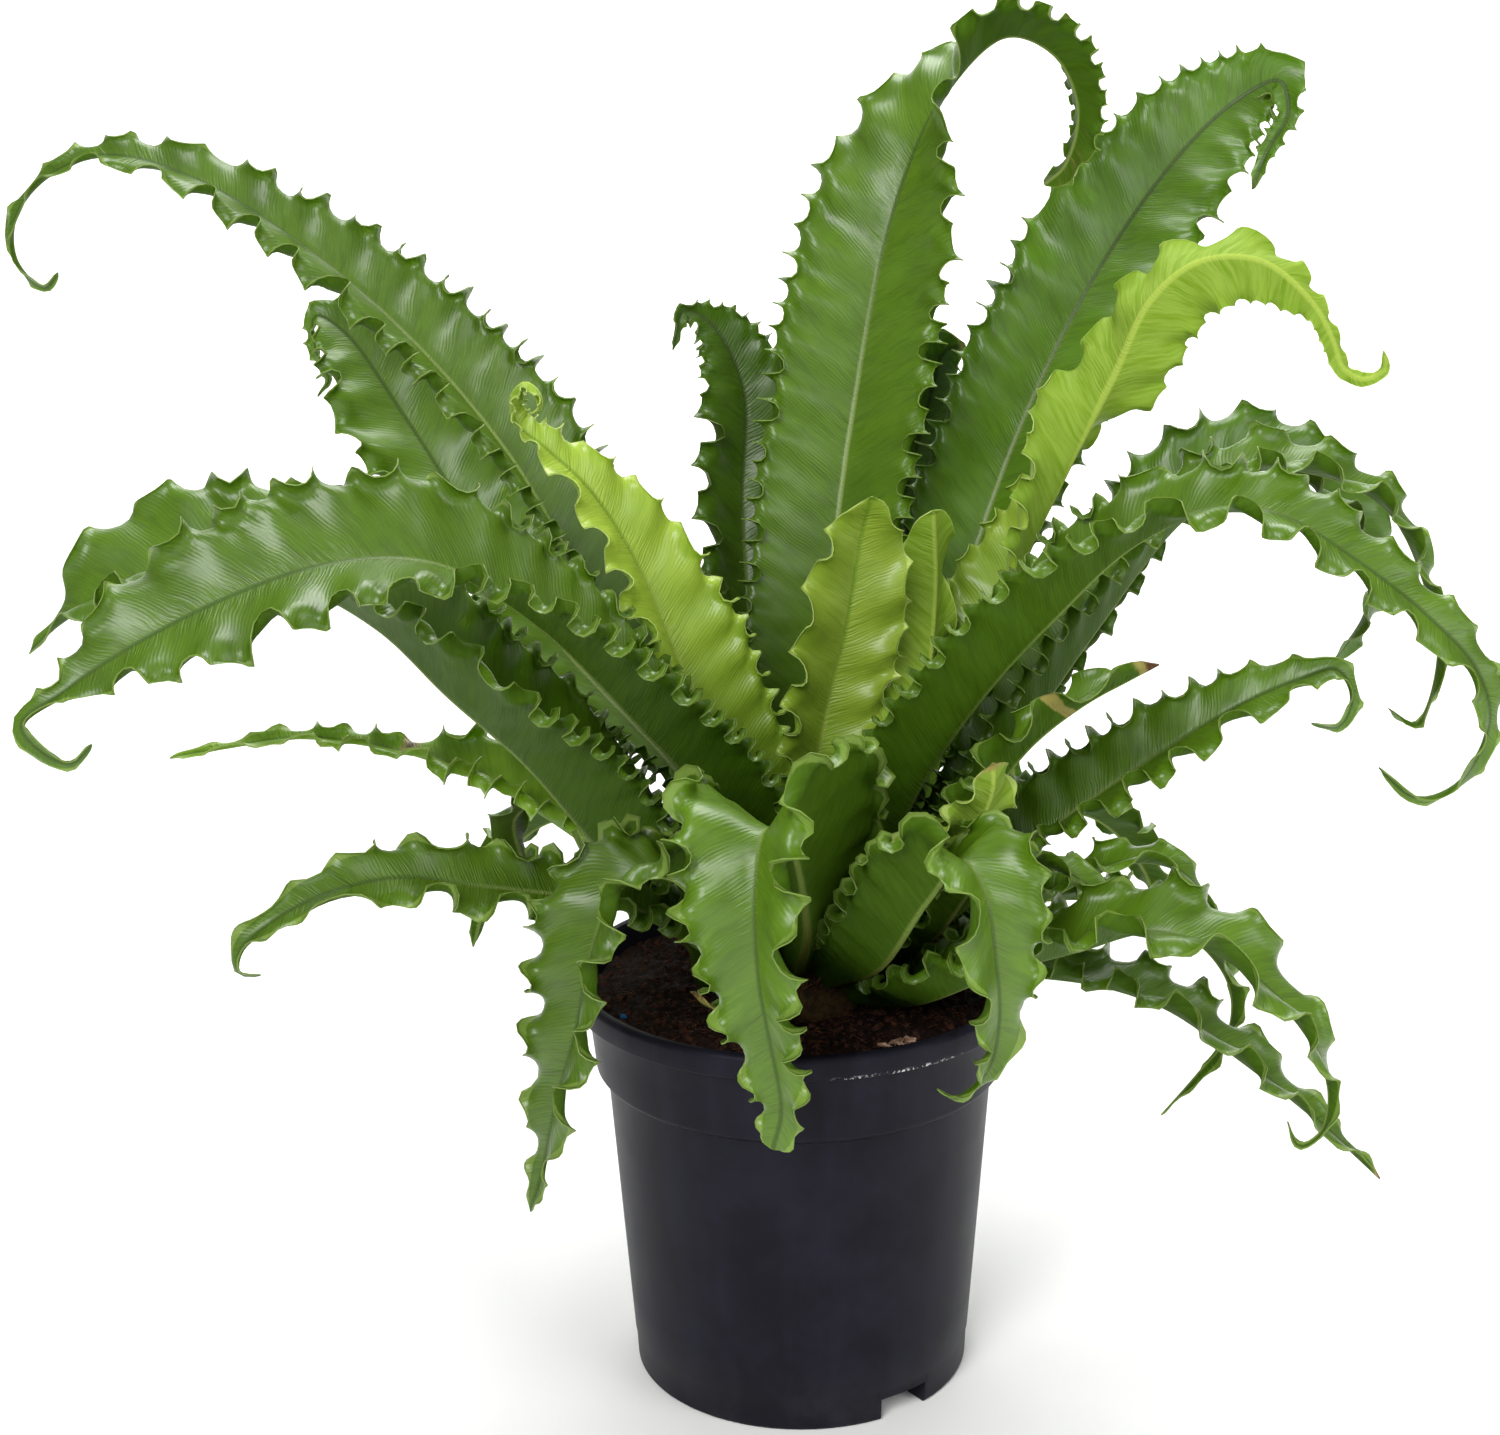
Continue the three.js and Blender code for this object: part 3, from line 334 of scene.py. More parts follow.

# %% [markdown]
# ## The midrib
#
# A midrib is a smooth line through its points. A centripetal Catmull-Rom curve passes through all
# of them without loops, which a route of given points needs. Along it a frame of three directions is
# carried from step to step, so the blade doesn't spin where the line bends.

# %% Carry a frame along each midrib
CROWN_CENTRE = np.array([0, 0, 149.0])
CROWN_RADIUS = 25
GAP = 0.3
STRAIGHT_START = 14
SAMPLES_PER_SPAN = 20
FRAME_STEP = 2


def curve_point(points, i, w):
    """The point at share w of span i on a centripetal Catmull-Rom curve."""
    first, last = points[i], points[i + 1]
    before = points[i - 1] if i > 0 else 2 * points[0] - points[1]
    after = points[i + 2] if i + 2 < len(points) else 2 * points[-1] - points[-2]
    gaps = [math.sqrt(np.linalg.norm(b - a)) for a, b in ((before, first), (first, last), (last, after))]
    leave = (first - before) / gaps[0] - (last - before) / (gaps[0] + gaps[1]) + (last - first) / gaps[1]
    arrive = (last - first) / gaps[1] - (after - first) / (gaps[1] + gaps[2]) + (after - last) / gaps[2]
    leave, arrive = leave * gaps[1], arrive * gaps[1]
    square = 3 * (last - first) - 2 * leave - arrive
    cube = 2 * (first - last) + leave + arrive
    return first + leave * w + square * w**2 + cube * w**3


def normalised(vectors):
    """The vectors at length 1."""
    return vectors / np.linalg.norm(vectors, axis=-1, keepdims=True)


def midrib(row):
    """Even steps along a frond's midrib: their distance along it, places, and ways along and across."""
    heading = math.radians(row["heading"])
    rise = math.radians(row["rise"])
    outward = np.array([math.cos(heading) * math.cos(rise),
                        math.sin(heading) * math.cos(rise),
                        math.sin(rise)])
    seat = CROWN_RADIUS + GAP
    route = [CROWN_CENTRE + outward * seat, CROWN_CENTRE + outward * (seat + STRAIGHT_START)]
    route += [np.array(p, float) for p in row["path"]]
    fine = [curve_point(route, i, k / SAMPLES_PER_SPAN)
            for i in range(len(route) - 1) for k in range(SAMPLES_PER_SPAN)]
    fine = np.array(fine + [route[-1]])
    reach = np.r_[0, np.cumsum(np.linalg.norm(np.diff(fine, axis=0), axis=1))]
    stops = np.linspace(0, reach[-1], int(reach[-1] / FRAME_STEP) + 2)
    places = np.stack([np.interp(stops, reach, fine[:, k]) for k in range(3)], 1)
    forward = normalised(np.gradient(places, axis=0))
    across = [np.array([math.sin(heading), -math.cos(heading), 0.0])]
    for way in forward:
        flat = across[-1] - across[-1].dot(way) * way
        across.append(flat / np.linalg.norm(flat))
    return dict(stops=stops, places=places, forward=forward, across=np.array(across[1:]),
                length=reach[-1])


print(f"longest frond: {max(midrib(row)['length'] for row in FRONDS):.0f} mm")

# %% [markdown]
# ## The blade
#
# A frond of this kind grows more margin than its midrib has room for, so the margin waves, and
# where it waves it also curls over: each crest rolls in towards the midrib and each trough rolls
# out, like a row of small cups. That is a rule, so a formula makes it. Going out from the midrib,
# the blade turns up by the fold, then in the last strip it turns further by the curl times the
# wave. Adding up small steps in the direction it faces gives the section, with rolled edges that
# no sideways wave could give. Where one curl passes to the next the margin lies flat and stands
# out, and that is what looks like a tooth in the outline. All sizes are in millimetres, and the
# lists run from the crown to the tip.

# %% Sizes of the blade
BLADE_MIDDLE = 0.8
BLADE_EDGE = 0.5
BASE_WIDTH = 35
BASE_SHARE = 0.66
TAIL_WIDTH = 8
TAIL_FOLD = math.radians(35)
ROLLED_UP = 1.12
TIP = 4
WIDEST_AT = 0.45
STRIP = [5, 6.5, 8.5, 11, 12]
STRIP_SHARE = 0.42
CURL = [170, 225, 195, 115, 85, 65]
LOOP = [0.10, 0.09, 0.06, 0.035, 0.03]
TOOTH = [0.8, 1.0, 1.8, 2.6, 2.6, 2.0]
CUP = [0.3, 0.18, -0.06, -0.18, -0.18]
RIPPLE = [0.3, 0.38, 0.55, 0.62, 0.6]
VEIN_SLANT = math.radians(58)
WAVE_SHIFT = 2.2
WAVE_SHARE = 0.6
WAVE_STRETCH = 3.0
WAVE_GROWS_OVER = 45
WAVE_FADES_OVER = 8
OUTWARD_SHARE = 0.85
CROWDING = 0.02
RIB_ROUNDING = 1.3
KEEL_HEIGHT = 1.5
KEEL_WIDTH = 1.3
ROWS_PER_WAVE = 14
ROWS_PER_WAVE_REAR = 9
SECTION_STEPS = 26
INNER_STOPS = [0, 0.06, 0.24, 0.62]
STRIP_STOPS = [0, 0.2, 0.36, 0.5, 0.64, 0.77, 0.89, 1.0]
WAVE_WANDERS = 0.9
WAVE_WANDERS_OVER = 80
SWING_WANDERS = 0.38
SWING_WANDERS_OVER = 53
TOOTH_WANDERS = 0.4
TOOTH_WANDERS_OVER = 31
print("points across a blade:", 2 * len(INNER_STOPS + STRIP_STOPS) - 1)

# %% [markdown]
# ## How single fronds differ
#
# One formula for every frond would give a ring of copies, and no two real fronds are alike. Each
# list below names only the fronds that depart from the rest, mostly as a share of what the rest
# have: the width of the blade and of its tail, the length of a wave, the strength of the curl and
# how far the margin stands out between two curls. Hanging fronds stand out there in round lobes,
# and the others in points. Some have extra waves in their last part, which makes a ragged tip. One
# list makes a frond lighter or darker than its finish: for the fronds it names that is painted
# light and shade, with a painted sheen on the tall right frond, and the rest get a random tone.

# %% List what sets single fronds apart
WIDTH_SHARE = {
    "frond_left_mid": 1.4,
    "frond_left_low": 0.82,
    "frond_young_left": 1.15,
    "frond_twisted_right": 0.8,
}
TAIL_SHARE = {"frond_left_small": 1.35, "frond_left_long": 1.15, "frond_young_left": 1.5}
PITCH_SHARE = {
    "frond_hanging_front": 0.85,
    "frond_left_low": 1.4,
    "frond_left_small": 1.15,
    "frond_bud": 0.7,
    "frond_right_low_arch": 1.35,
    "frond_right_low": 1.2,
    "frond_right_low_rear": 1.2,
}
# Painted light and shade: these values make fronds lighter or darker as the light falls on them, with a
# painted sheen on the tall right frond.
TONE_AND_PAINTED_LIGHT = {
    "frond_tall_right": 2.6,
    "frond_left_rear": 0.8,
    "frond_hanging_front": 1.0,
    "frond_left_long": -0.8,
    "frond_left_front_arch": -0.9,
    "frond_hanging_left": -1.3,
    "frond_rear_centre_left": -1.6,
}
TIP_WAVES_FROM = 0.8
TIP_WAVES = {
    "frond_tall_centre": 6,
    "frond_tall_right": 3.5,
    "frond_rear_centre_left": 3,
    "frond_left_rear": 3,
    "frond_young_left": 4,
    "frond_twisted_right": 3,
}
CURL_SHARE = {
    "frond_twisted_right": 0.6,
    "frond_hanging_front": 0.85,
    "frond_hanging_left": 0.85,
    "frond_left_low": 0.9,
    "frond_hanging_right": 0.8,
    "frond_right_low_arch": 0.8,
    "frond_right_low": 0.8,
    "frond_tall_centre": 0.7,
    "frond_tall_right": 0.75,
    "frond_young_left": 0.6,
    "frond_young_centre": 0.5,
    "frond_young_right": 0.5,
    "frond_bud": 0.9,
}
ROUND_LOBES = {
    "frond_hanging_front", "frond_hanging_left", "frond_hanging_right", "frond_left_low",
    "frond_left_small", "frond_right_low_arch", "frond_right_low", "frond_right_low_rear",
    "frond_right_stub", "frond_bud",
}
TOOTH_SHARE = {
    "frond_hanging_front": 1.5,
    "frond_hanging_left": 1.3,
    "frond_right_front_arch": 0.8,
    "frond_left_mid": 0.8,
    "frond_twisted_right": 0.3,
    "frond_tall_centre": 1.35,
    "frond_tall_right": 1.25,
}
print("fronds with round lobes:", len(ROUND_LOBES))


# %% Shape one half of a blade
def along(values, u):
    """The value at share u of a list that is spread evenly over 0 to 1."""
    return np.interp(u, np.linspace(0, 1, len(values)), values)


def half_width(row, u):
    """Half the blade's width at share u of its length."""
    end = 1 - row["tail"]
    width = row["width"] * WIDTH_SHARE.get(row["name"], 1.0)
    base = min(BASE_WIDTH, BASE_SHARE * width) / 2
    rising = base + (width / 2 - base) * smooth(u / row["full"])
    gone = np.clip((u - WIDEST_AT) / (end - WIDEST_AT), 0, 1)
    tail_width = TAIL_WIDTH * TAIL_SHARE.get(row["name"], 1.0)
    slim = tail_width / width
    body = rising * (slim + (1 - slim) * (1 - gone ** row["taper"]))
    gone = np.clip((u - end) / max(row["tail"], 0.01), 0, 1)
    tail = tail_width / 2 * (1 - 0.75 * gone**1.8)
    return np.where(u > end, tail, body)


def wander(t, seed, period):
    """A smooth line that wanders between about -1 and 1."""
    draw = np.random.default_rng(seed)
    a, b, c = draw.uniform(0, 2 * math.pi, 3)
    return (np.sin(t / period * 2 * math.pi + a) + 0.7 * np.sin(t / period * 4.7 + b)
            + 0.5 * np.sin(t / period * 9.1 + c)) / 1.7


def wave_phase(row, length, t, side, seed):
    """How far the margin's wave has turned, in radians. Waves lengthen to the tip and vary a little."""
    first = WAVE_SHARE * row["pitch"] * PITCH_SHARE.get(row["name"], 1.0)
    turns = np.log1p(WAVE_STRETCH * np.clip(t, 0, length) / length) * length / (WAVE_STRETCH * first)
    near_tip = smooth((t / length - TIP_WAVES_FROM) / (1 - TIP_WAVES_FROM))
    turns = turns + TIP_WAVES.get(row["name"], 0) * near_tip
    shift = 0 if side < 0 else WAVE_SHIFT
    drift = WAVE_WANDERS * wander(t, seed + (side > 0), WAVE_WANDERS_OVER)
    return 2 * math.pi * turns + shift + drift


def frame_at(row, rib, t, wanted):
    """The midrib's place, or one of its three directions, at lengths t, with the roll applied."""
    def look_up(table):
        return np.stack([np.interp(t, rib["stops"], table[:, k]) for k in range(3)], -1)

    if wanted == "place":
        return look_up(rib["places"])
    forward = normalised(look_up(rib["forward"]))
    if wanted == "forward":
        return forward
    flat = look_up(rib["across"])
    flat = normalised(flat - (flat * forward).sum(-1, keepdims=True) * forward)
    up = np.cross(flat, forward)
    roll = np.radians(along(row["roll"], t / rib["length"]))[..., None]
    if wanted == "across":
        return flat * np.cos(roll) + up * np.sin(roll)
    return up * np.cos(roll) - flat * np.sin(roll)


def half_blade(row, rib, t, side, seed):
    """Points of one half, for every row at length t and every stop from the midrib to the margin."""
    length = rib["length"]
    tip = np.sqrt(1 - np.clip(1 - (length - t) / TIP, 0, 0.98) ** 2)
    half = (half_width(row, t / length) * tip * ROLLED_UP)[:, None]
    strip = np.minimum(along(STRIP, t / length)[:, None], STRIP_SHARE * half)
    flat = np.concatenate([(half - strip) * INNER_STOPS, half - strip + strip * STRIP_STOPS], axis=1)
    share = flat / half
    first = WAVE_SHARE * row["pitch"] * PITCH_SHARE.get(row["name"], 1.0)
    pitch = first * (1 + WAVE_STRETCH * t[:, None] / length)

    # The rows crowd where the wave crosses from one curl to the other
    phase = wave_phase(row, length, t[:, None], side, seed)
    t = np.clip(t[:, None] - CROWDING * pitch * np.sin(2 * phase) * share**2, 0, length)
    phase = wave_phase(row, length, t, side, seed)
    u = t / length

    grown = smooth(t / WAVE_GROWS_OVER) * smooth((length - t) / WAVE_FADES_OVER)
    near_margin = np.clip((flat - half + strip) / strip, 0, 1)
    point = np.cos(phase) ** 2 if row["name"] in ROUND_LOBES else (1 - np.abs(np.sin(phase))) ** 2
    tooth = along(TOOTH, u) * TOOTH_SHARE.get(row["name"], 1.0) * point
    tooth = tooth * (1 + TOOTH_WANDERS * wander(t, seed + 3 + (side > 0), TOOTH_WANDERS_OVER))
    flat = flat + tooth * grown * near_margin**2 * np.minimum(1, half / 5)

    swing = 1 + SWING_WANDERS * wander(t, seed + 7 + (side > 0), SWING_WANDERS_OVER)
    swing = np.sin(phase) * swing
    swing = np.where(swing > 0, 1.0, OUTWARD_SHARE) * swing
    curl = np.radians(along(CURL, u)) * CURL_SHARE.get(row["name"], 1.0)
    fold = np.radians(along(row["fold"], u))
    in_tail = smooth((u - 1 + 1.4 * row["tail"]) / (0.4 * row["tail"] + 0.01)) * (row["tail"] > 0)
    fold = fold + (TAIL_FOLD - fold) * in_tail
    cup = along(CUP, u)
    across = np.zeros_like(flat)
    up = np.zeros_like(flat)
    for step in range(SECTION_STEPS):
        s = flat * (step + 0.5) / SECTION_STEPS
        x = s / half
        on_vein = wave_phase(row, length, t + (half - s) / math.tan(VEIN_SLANT), side, seed)
        rolled = np.clip((s - half + strip) / strip, 0, 1)
        rippled = along(RIPPLE, u) * x**1.2 * np.sin(on_vein) * (1 - rolled)
        turn = fold * (1 - np.exp(-s / RIB_ROUNDING)) + cup * (x - 0.5)
        turn = turn + grown * (rippled + curl * swing * rolled**1.2)
        across += np.cos(turn) * flat / SECTION_STEPS
        up += np.sin(turn) * flat / SECTION_STEPS
    loop = -along(LOOP, u) * pitch * np.sin(2 * phase) * grown * near_margin * np.minimum(1, strip / 6)

    place, forward, side_way, normal = (
        frame_at(row, rib, t, name) for name in ("place", "forward", "across", "normal"))
    points = (place + side * across[..., None] * side_way + up[..., None] * normal
              + loop[..., None] * forward)
    return points, t, flat, np.maximum(half - flat, 0) + (1 - near_margin) * 0.01


widest = max(half_width(row, np.linspace(0, 1, 50)).max() for row in FRONDS) * 2
print(f"widest frond: {widest:.0f} mm")

# %% [markdown]
# ## From one sheet to a closed leaf
#
# A leaf in Blender is best a thin closed solid: light meets a real upper and a real lower side,
# and the margin has an edge that catches the light. The sheet is pushed out along its own normals
# to both sides, and below the midrib it grows a keel, the pale ridge under the real frond. Five
# attributes go with the points for the material to read: where a point is on the blade in
# millimetres, how near it is to the margin, which side it is on, how brown it is there, and how
# light or dark the whole frond is, which for some fronds is painted light and shade.

# %% Build one frond
# Brown marks: share of the length, spread, side (0 for both) and strength
BROWN_MARKS = {
    "frond_left_small": [(0.60, 0.014, 1, 0.9)],
    "frond_right_torn": [(0.99, 0.03, 0, 1.0), (0.8, 0.012, 1, 0.8)],
    "frond_right_low": [(1.0, 0.02, 0, 0.9)],
    "frond_rear_centre_right": [(1.0, 0.012, 0, 0.7)],
    "frond_soil_stub": [(1.0, 0.16, 0, 0.8)],
    "frond_right_short": [(1.0, 0.03, 0, 0.7)],
    "frond_bud": [(1.0, 0.03, 0, 0.5)],
    "frond_tall_centre": [(1.0, 0.12, 0, 0.26)],
    "frond_tall_right": [(1.0, 0.04, 0, 0.26)],
}


def brown_marks(row, u, signed):
    """How brown the blade is at each point, from 0 to 1."""
    marks = np.zeros_like(u)
    for centre, spread, side, strength in BROWN_MARKS.get(row["name"], []):
        near = np.exp(-((u - centre) / spread) ** 2)
        if side:
            near = near * (signed == side)
        marks = np.maximum(marks, near * strength)
    return marks


def grid_faces(rows, columns):
    """The quads of a grid of points, row by row."""
    i, j = np.meshgrid(np.arange(rows - 1), np.arange(columns - 1), indexing="ij")
    corner = (i * columns + j).ravel()
    return np.stack([corner, corner + columns, corner + columns + 1, corner + 1], 1)


def store(piece, name, values, kind="FLOAT"):
    """Keeps one value for each point under a name that a material can read."""
    attribute = piece.data.attributes.new(name, kind, "POINT")
    attribute.data.foreach_set("vector" if kind == "FLOAT_VECTOR" else "value", np.ravel(values))


def frond(row, material, seed):
    """One closed frond with its attributes."""
    rib = midrib(row)
    at_the_back = row["name"].startswith("frond_rear_")
    rows_per_wave = ROWS_PER_WAVE_REAR if at_the_back else ROWS_PER_WAVE
    turned = wave_phase(row, rib["length"], rib["stops"], -1, seed)
    count = int((turned[-1] - turned[0]) / (2 * math.pi) * rows_per_wave) + 2
    t = np.interp(np.linspace(turned[0], turned[-1], count), turned, rib["stops"])
    left = half_blade(row, rib, t, -1, seed)
    right = half_blade(row, rib, t, 1, seed)
    sheet, length, flat, to_edge = (np.concatenate([a[:, :0:-1], b], axis=1) for a, b in zip(left, right))
    columns = sheet.shape[1]
    signed = np.where(np.arange(columns) < columns // 2, -1, 1)
    u = length / rib["length"]

    normals = normalised(np.cross(np.gradient(sheet, axis=1), np.gradient(sheet, axis=0)))
    thickness = BLADE_EDGE + (BLADE_MIDDLE - BLADE_EDGE) * smooth(to_edge / 12)
    stalk = (1 - u) ** 0.6 * np.minimum(1, (flat + to_edge) / 12)
    keel = KEEL_HEIGHT * stalk * np.exp(-(flat / (KEEL_WIDTH * (0.5 + stalk))) ** 2)
    top = sheet + normals * (thickness / 2)[..., None]
    under = sheet - normals * (thickness / 2 + keel)[..., None]

    quads = grid_faces(count, columns)
    below = count * columns
    ring = np.r_[np.arange(columns), np.arange(1, count) * columns + columns - 1,
                 below - 2 - np.arange(columns - 1), (np.arange(count - 2, 0, -1)) * columns]
    ahead = np.roll(ring, -1)
    wall = np.stack([ring, ring + below, ahead + below, ahead], 1)
    faces = np.concatenate([quads[:, ::-1], quads + below, wall[:, ::-1]])
    points = np.concatenate([top.reshape(-1, 3), under.reshape(-1, 3)])
    made = mesh_object(row["name"].replace("frond_", "leaf_"), points, faces, material)

    brown = brown_marks(row, u, signed)
    blade = np.stack([flat * signed, length, u], -1).reshape(-1, 3)
    store(made, "blade", np.tile(blade, (2, 1)), "FLOAT_VECTOR")
    store(made, "to_edge", np.tile(to_edge.ravel(), 2))
    store(made, "brown", np.tile(brown.ravel(), 2))
    store(made, "underside", np.repeat([0.0, 1.0], below))
    # A listed frond's lightness is painted light and shade; any other frond gets a random tone.
    shade = TONE_AND_PAINTED_LIGHT.get(row["name"], np.random.default_rng(seed).uniform(-1, 1))
    store(made, "shade", np.full(2 * below, shade))
    return made


print("fronds with brown marks:", len(BROWN_MARKS))

# %% [markdown]
# ## The finish of the fronds
#
# A living frond is waxy: a thin clear cuticle over soft green flesh. That gives a broad satin
# sheen with a sharper gloss on top of it, and light that glows a little through the blade. Fine
# veins run out from the midrib at a slant, close together and parallel. The underside is greyer
# and duller, the midrib is a dark line above and a pale keel below, and the very edge is pale.
# Young fronds are the same thing in yellow-green. One function makes all four, and each pattern
# reads the blade's own millimetres, so it follows every curl.

# %% Make the material of a frond
VEIN_SPACING = 1.15      # The side veins of such a fern are about a millimetre apart
VEINS_STRAY = 3.0
PATCH_SIZE = 22
RUSTY_RIB = "5b2e16"
DRY_EDGE, DRY_MIDDLE = "8f864a", "5a3a1c"


def frond_material(name, top, deep, under, rim, keel, base, fades_by=0.45):
    """Waxy leaf flesh: a patchy top, a duller underside, a pale rim and keel, and a dark base, which is
    painted shade near the crown and in young fronds also their own darker colour.
    """
    made, tree = new_material(name)
    blade = add(tree, "ShaderNodeAttribute", attribute_name="blade").outputs["Vector"]
    to_edge, brown, underside, shade = (
        add(tree, "ShaderNodeAttribute", attribute_name=kept).outputs["Fac"]
        for kept in ("to_edge", "brown", "underside", "shade"))
    parts = add(tree, "ShaderNodeSeparateXYZ", {0: blade}).outputs
    out = add(tree, MATH, {0: parts["X"]}, operation="ABSOLUTE")

    # Veins: lines that leave the midrib at a slant, bent a little by noise
    rising = add(tree, MATH, {0: parts["Y"], 1: math.sin(VEIN_SLANT)}, operation="MULTIPLY")
    leaving = add(tree, MATH, {0: out, 1: math.cos(VEIN_SLANT)}, operation="MULTIPLY")
    slanted = add(tree, MATH, {0: rising, 1: leaving}, operation="SUBTRACT")
    strain = add(tree, NOISE, {"Vector": blade, "Scale": 0.08, "Detail": 1.0})
    bent = add(tree, MATH, {0: strain, 1: VEINS_STRAY, 2: slanted}, operation="MULTIPLY_ADD")
    turned = add(tree, MATH, {0: bent, 1: 2 * math.pi / VEIN_SPACING}, operation="MULTIPLY")
    veins = add(tree, MATH, {0: turned}, operation="SINE")
    veins = add(tree, MATH, {0: veins, 1: 0.5, 2: 0.5}, operation="MULTIPLY_ADD")

    # Streaks and pleats follow the veins, and patches are broader than both
    along_veins = [
        add(tree, "ShaderNodeCombineXYZ",
            {"X": bent, "Y": add(tree, MATH, {0: out, 1: squeeze}, operation="MULTIPLY")})
        for squeeze in (0.12, 0.1)]
    streaks = add(tree, NOISE, {"Vector": along_veins[0], "Scale": 0.55, "Detail": 3.0})
    pleats = add(tree, NOISE, {"Vector": along_veins[1], "Scale": 1.3, "Detail": 1.0})
    patches = add(tree, NOISE, {"Vector": blade, "Scale": 1 / PATCH_SIZE, "Detail": 3.0})
    dryness = add(tree, MATH, {0: streaks, 1: 0.4, 2: brown}, operation="MULTIPLY_ADD")

    masks = masks_of(tree, {
        "patchy": (patches, 0.38, 0.68),
        "streaky": (streaks, 0.42, 0.75),
        "streaky_below": (streaks, 0.3, 0.8),
        "rim": (to_edge, 0.5, 0.05),
        "rib": (out, 1.5, 0.35),
        "beside_rib": (out, 11.0, 2.0),
        "lower_part": (parts["Z"], 0.7, 0.4),
        "near_crown": (parts["Y"], 95.0, 15.0),
        "dark_base_and_painted_shade": (parts["Z"], fades_by, 0.04),
        "dry_edge": (dryness, 0.42, 0.66),
        "dry_middle": (dryness, 0.85, 1.05),
    })
    below = paint(tree, linear(under), [(masks["streaky_below"], 1.0, linear(deep))])
    colour = paint(tree, linear(top), [
        (masks["patchy"], 0.3, linear(deep)),
        (masks["streaky"], 0.4, linear(deep)),
        (underside, 1.0, below),
    ])
    # Painted light and shade: the listed fronds are made lighter or darker as the light falls on them,
    # with a painted sheen on the tall right frond; the rest differ in tone at random.
    brightness = add(tree, MATH, {0: shade, 1: 0.12, 2: 1.0}, operation="MULTIPLY_ADD")
    colour = add(tree, "ShaderNodeHueSaturation", {"Color": colour, "Value": brightness})

    # The midrib is a dark line above, but pale below and all round near the base
    pale_rib = add(tree, MATH, {0: underside, 1: masks["lower_part"]}, operation="MAXIMUM")
    rib = paint(tree, linear(deep), [(pale_rib, 1.0, linear(keel))])
    rusty = add(tree, MATH, {0: masks["near_crown"], 1: masks["rib"]}, operation="MULTIPLY")
    colour = paint(tree, colour, [
        (masks["rim"], 0.28, linear(rim)),
        (masks["rib"], 0.8, rib),
        (rusty, 1.0, linear(RUSTY_RIB)),
        # Painted shade near the crown darkens the base; in young fronds it is also their own darker
        # colour
        (masks["dark_base_and_painted_shade"], 0.85, linear(base)),
        (masks["dry_edge"], 1.0, linear(DRY_EDGE)),
        (masks["dry_middle"], 1.0, linear(DRY_MIDDLE)),
    ])

    rough = add(tree, MATH, {0: underside, 1: 0.16, 2: 0.34}, operation="MULTIPLY_ADD")
    rough = add(tree, MATH, {0: patches, 1: 0.12, 2: rough}, operation="MULTIPLY_ADD")
    rough = add(tree, MATH, {0: masks["rib"], 1: 0.3, 2: rough}, operation="MULTIPLY_ADD")
    upper_side = add(tree, MATH, {0: 1.0, 1: underside}, operation="SUBTRACT")
    gloss = add(tree, MATH, {0: upper_side, 1: 0.4, 2: 0.1}, operation="MULTIPLY_ADD")
    wax = add(tree, MATH, {0: upper_side, 1: 0.22}, operation="MULTIPLY")
    pleats = add(tree, MATH, {0: pleats, 1: masks["beside_rib"]}, operation="MULTIPLY")
    height = add(tree, MATH, {0: streaks, 1: 2.0}, operation="MULTIPLY")
    height = add(tree, MATH, {0: veins, 1: 0.6, 2: height}, operation="MULTIPLY_ADD")
    height = add(tree, MATH, {0: pleats, 1: 6.0, 2: height}, operation="MULTIPLY_ADD")
    bump = add(tree, "ShaderNodeBump", {"Height": height, "Strength": 0.5, "Distance": 0.17 * MM})
    shader = add(tree, "ShaderNodeBsdfPrincipled", {
        "Base Color": colour,
        "Roughness": rough,
        "IOR": 1.42,
        "Specular IOR Level": gloss,
        "Subsurface Weight": 0.14,
        "Subsurface Radius": (0.7, 1.0, 0.15),
        "Subsurface Scale": 2.5 * MM,
        "Coat Weight": wax,
        "Coat Roughness": 0.24,
        "Normal": bump,
    })
    add(tree, "ShaderNodeOutputMaterial", {"Surface": shader})
    return made


# The last colour of each is the dark base: painted shade near the crown, and in young fronds also their
# own darker colour.
FROND_MATERIALS = {
    "dark": frond_material("waxy_leaf_dark",
                           "47680e", "2f4205", "35490c", "8fa45c", "6f8040", "1f3403"),
    "mid": frond_material("waxy_leaf_mid",
                          "517110", "344e06", "3e5a0e", "a3ba62", "80944a", "243d03"),
    "light": frond_material("waxy_leaf_light",
                            "769a1e", "52740c", "628024", "bccf7c", "8aa63c", "3a5c08"),
    "young": frond_material("waxy_leaf_young",
                            "93ab38", "6a8a1a", "86a03c", "d0df90", "a2b650", "4c7010", fades_by=0.68),
}
print("frond materials:", ", ".join(FROND_MATERIALS))

# %% Grow all fronds
for number, row in enumerate(FRONDS):
    leaf = frond(row, FROND_MATERIALS[row["tone"]], seed=100 + number * 10)
    hand_over(leaf, "frond_" + row["tone"], row["name"])

# %% [markdown]
# ## The pot
#
# A nursery pot is blow moulded or injection moulded in one shot from black polypropylene: a thin
# tapered wall, a wider band so that pots nest without sticking, and a rounded lip. All of it is
# round, so its section turned about the axis gives the whole shell. The drain notches break the
# roundness. They are cut with boxes, after a slightly bigger box has closed each pocket inside.

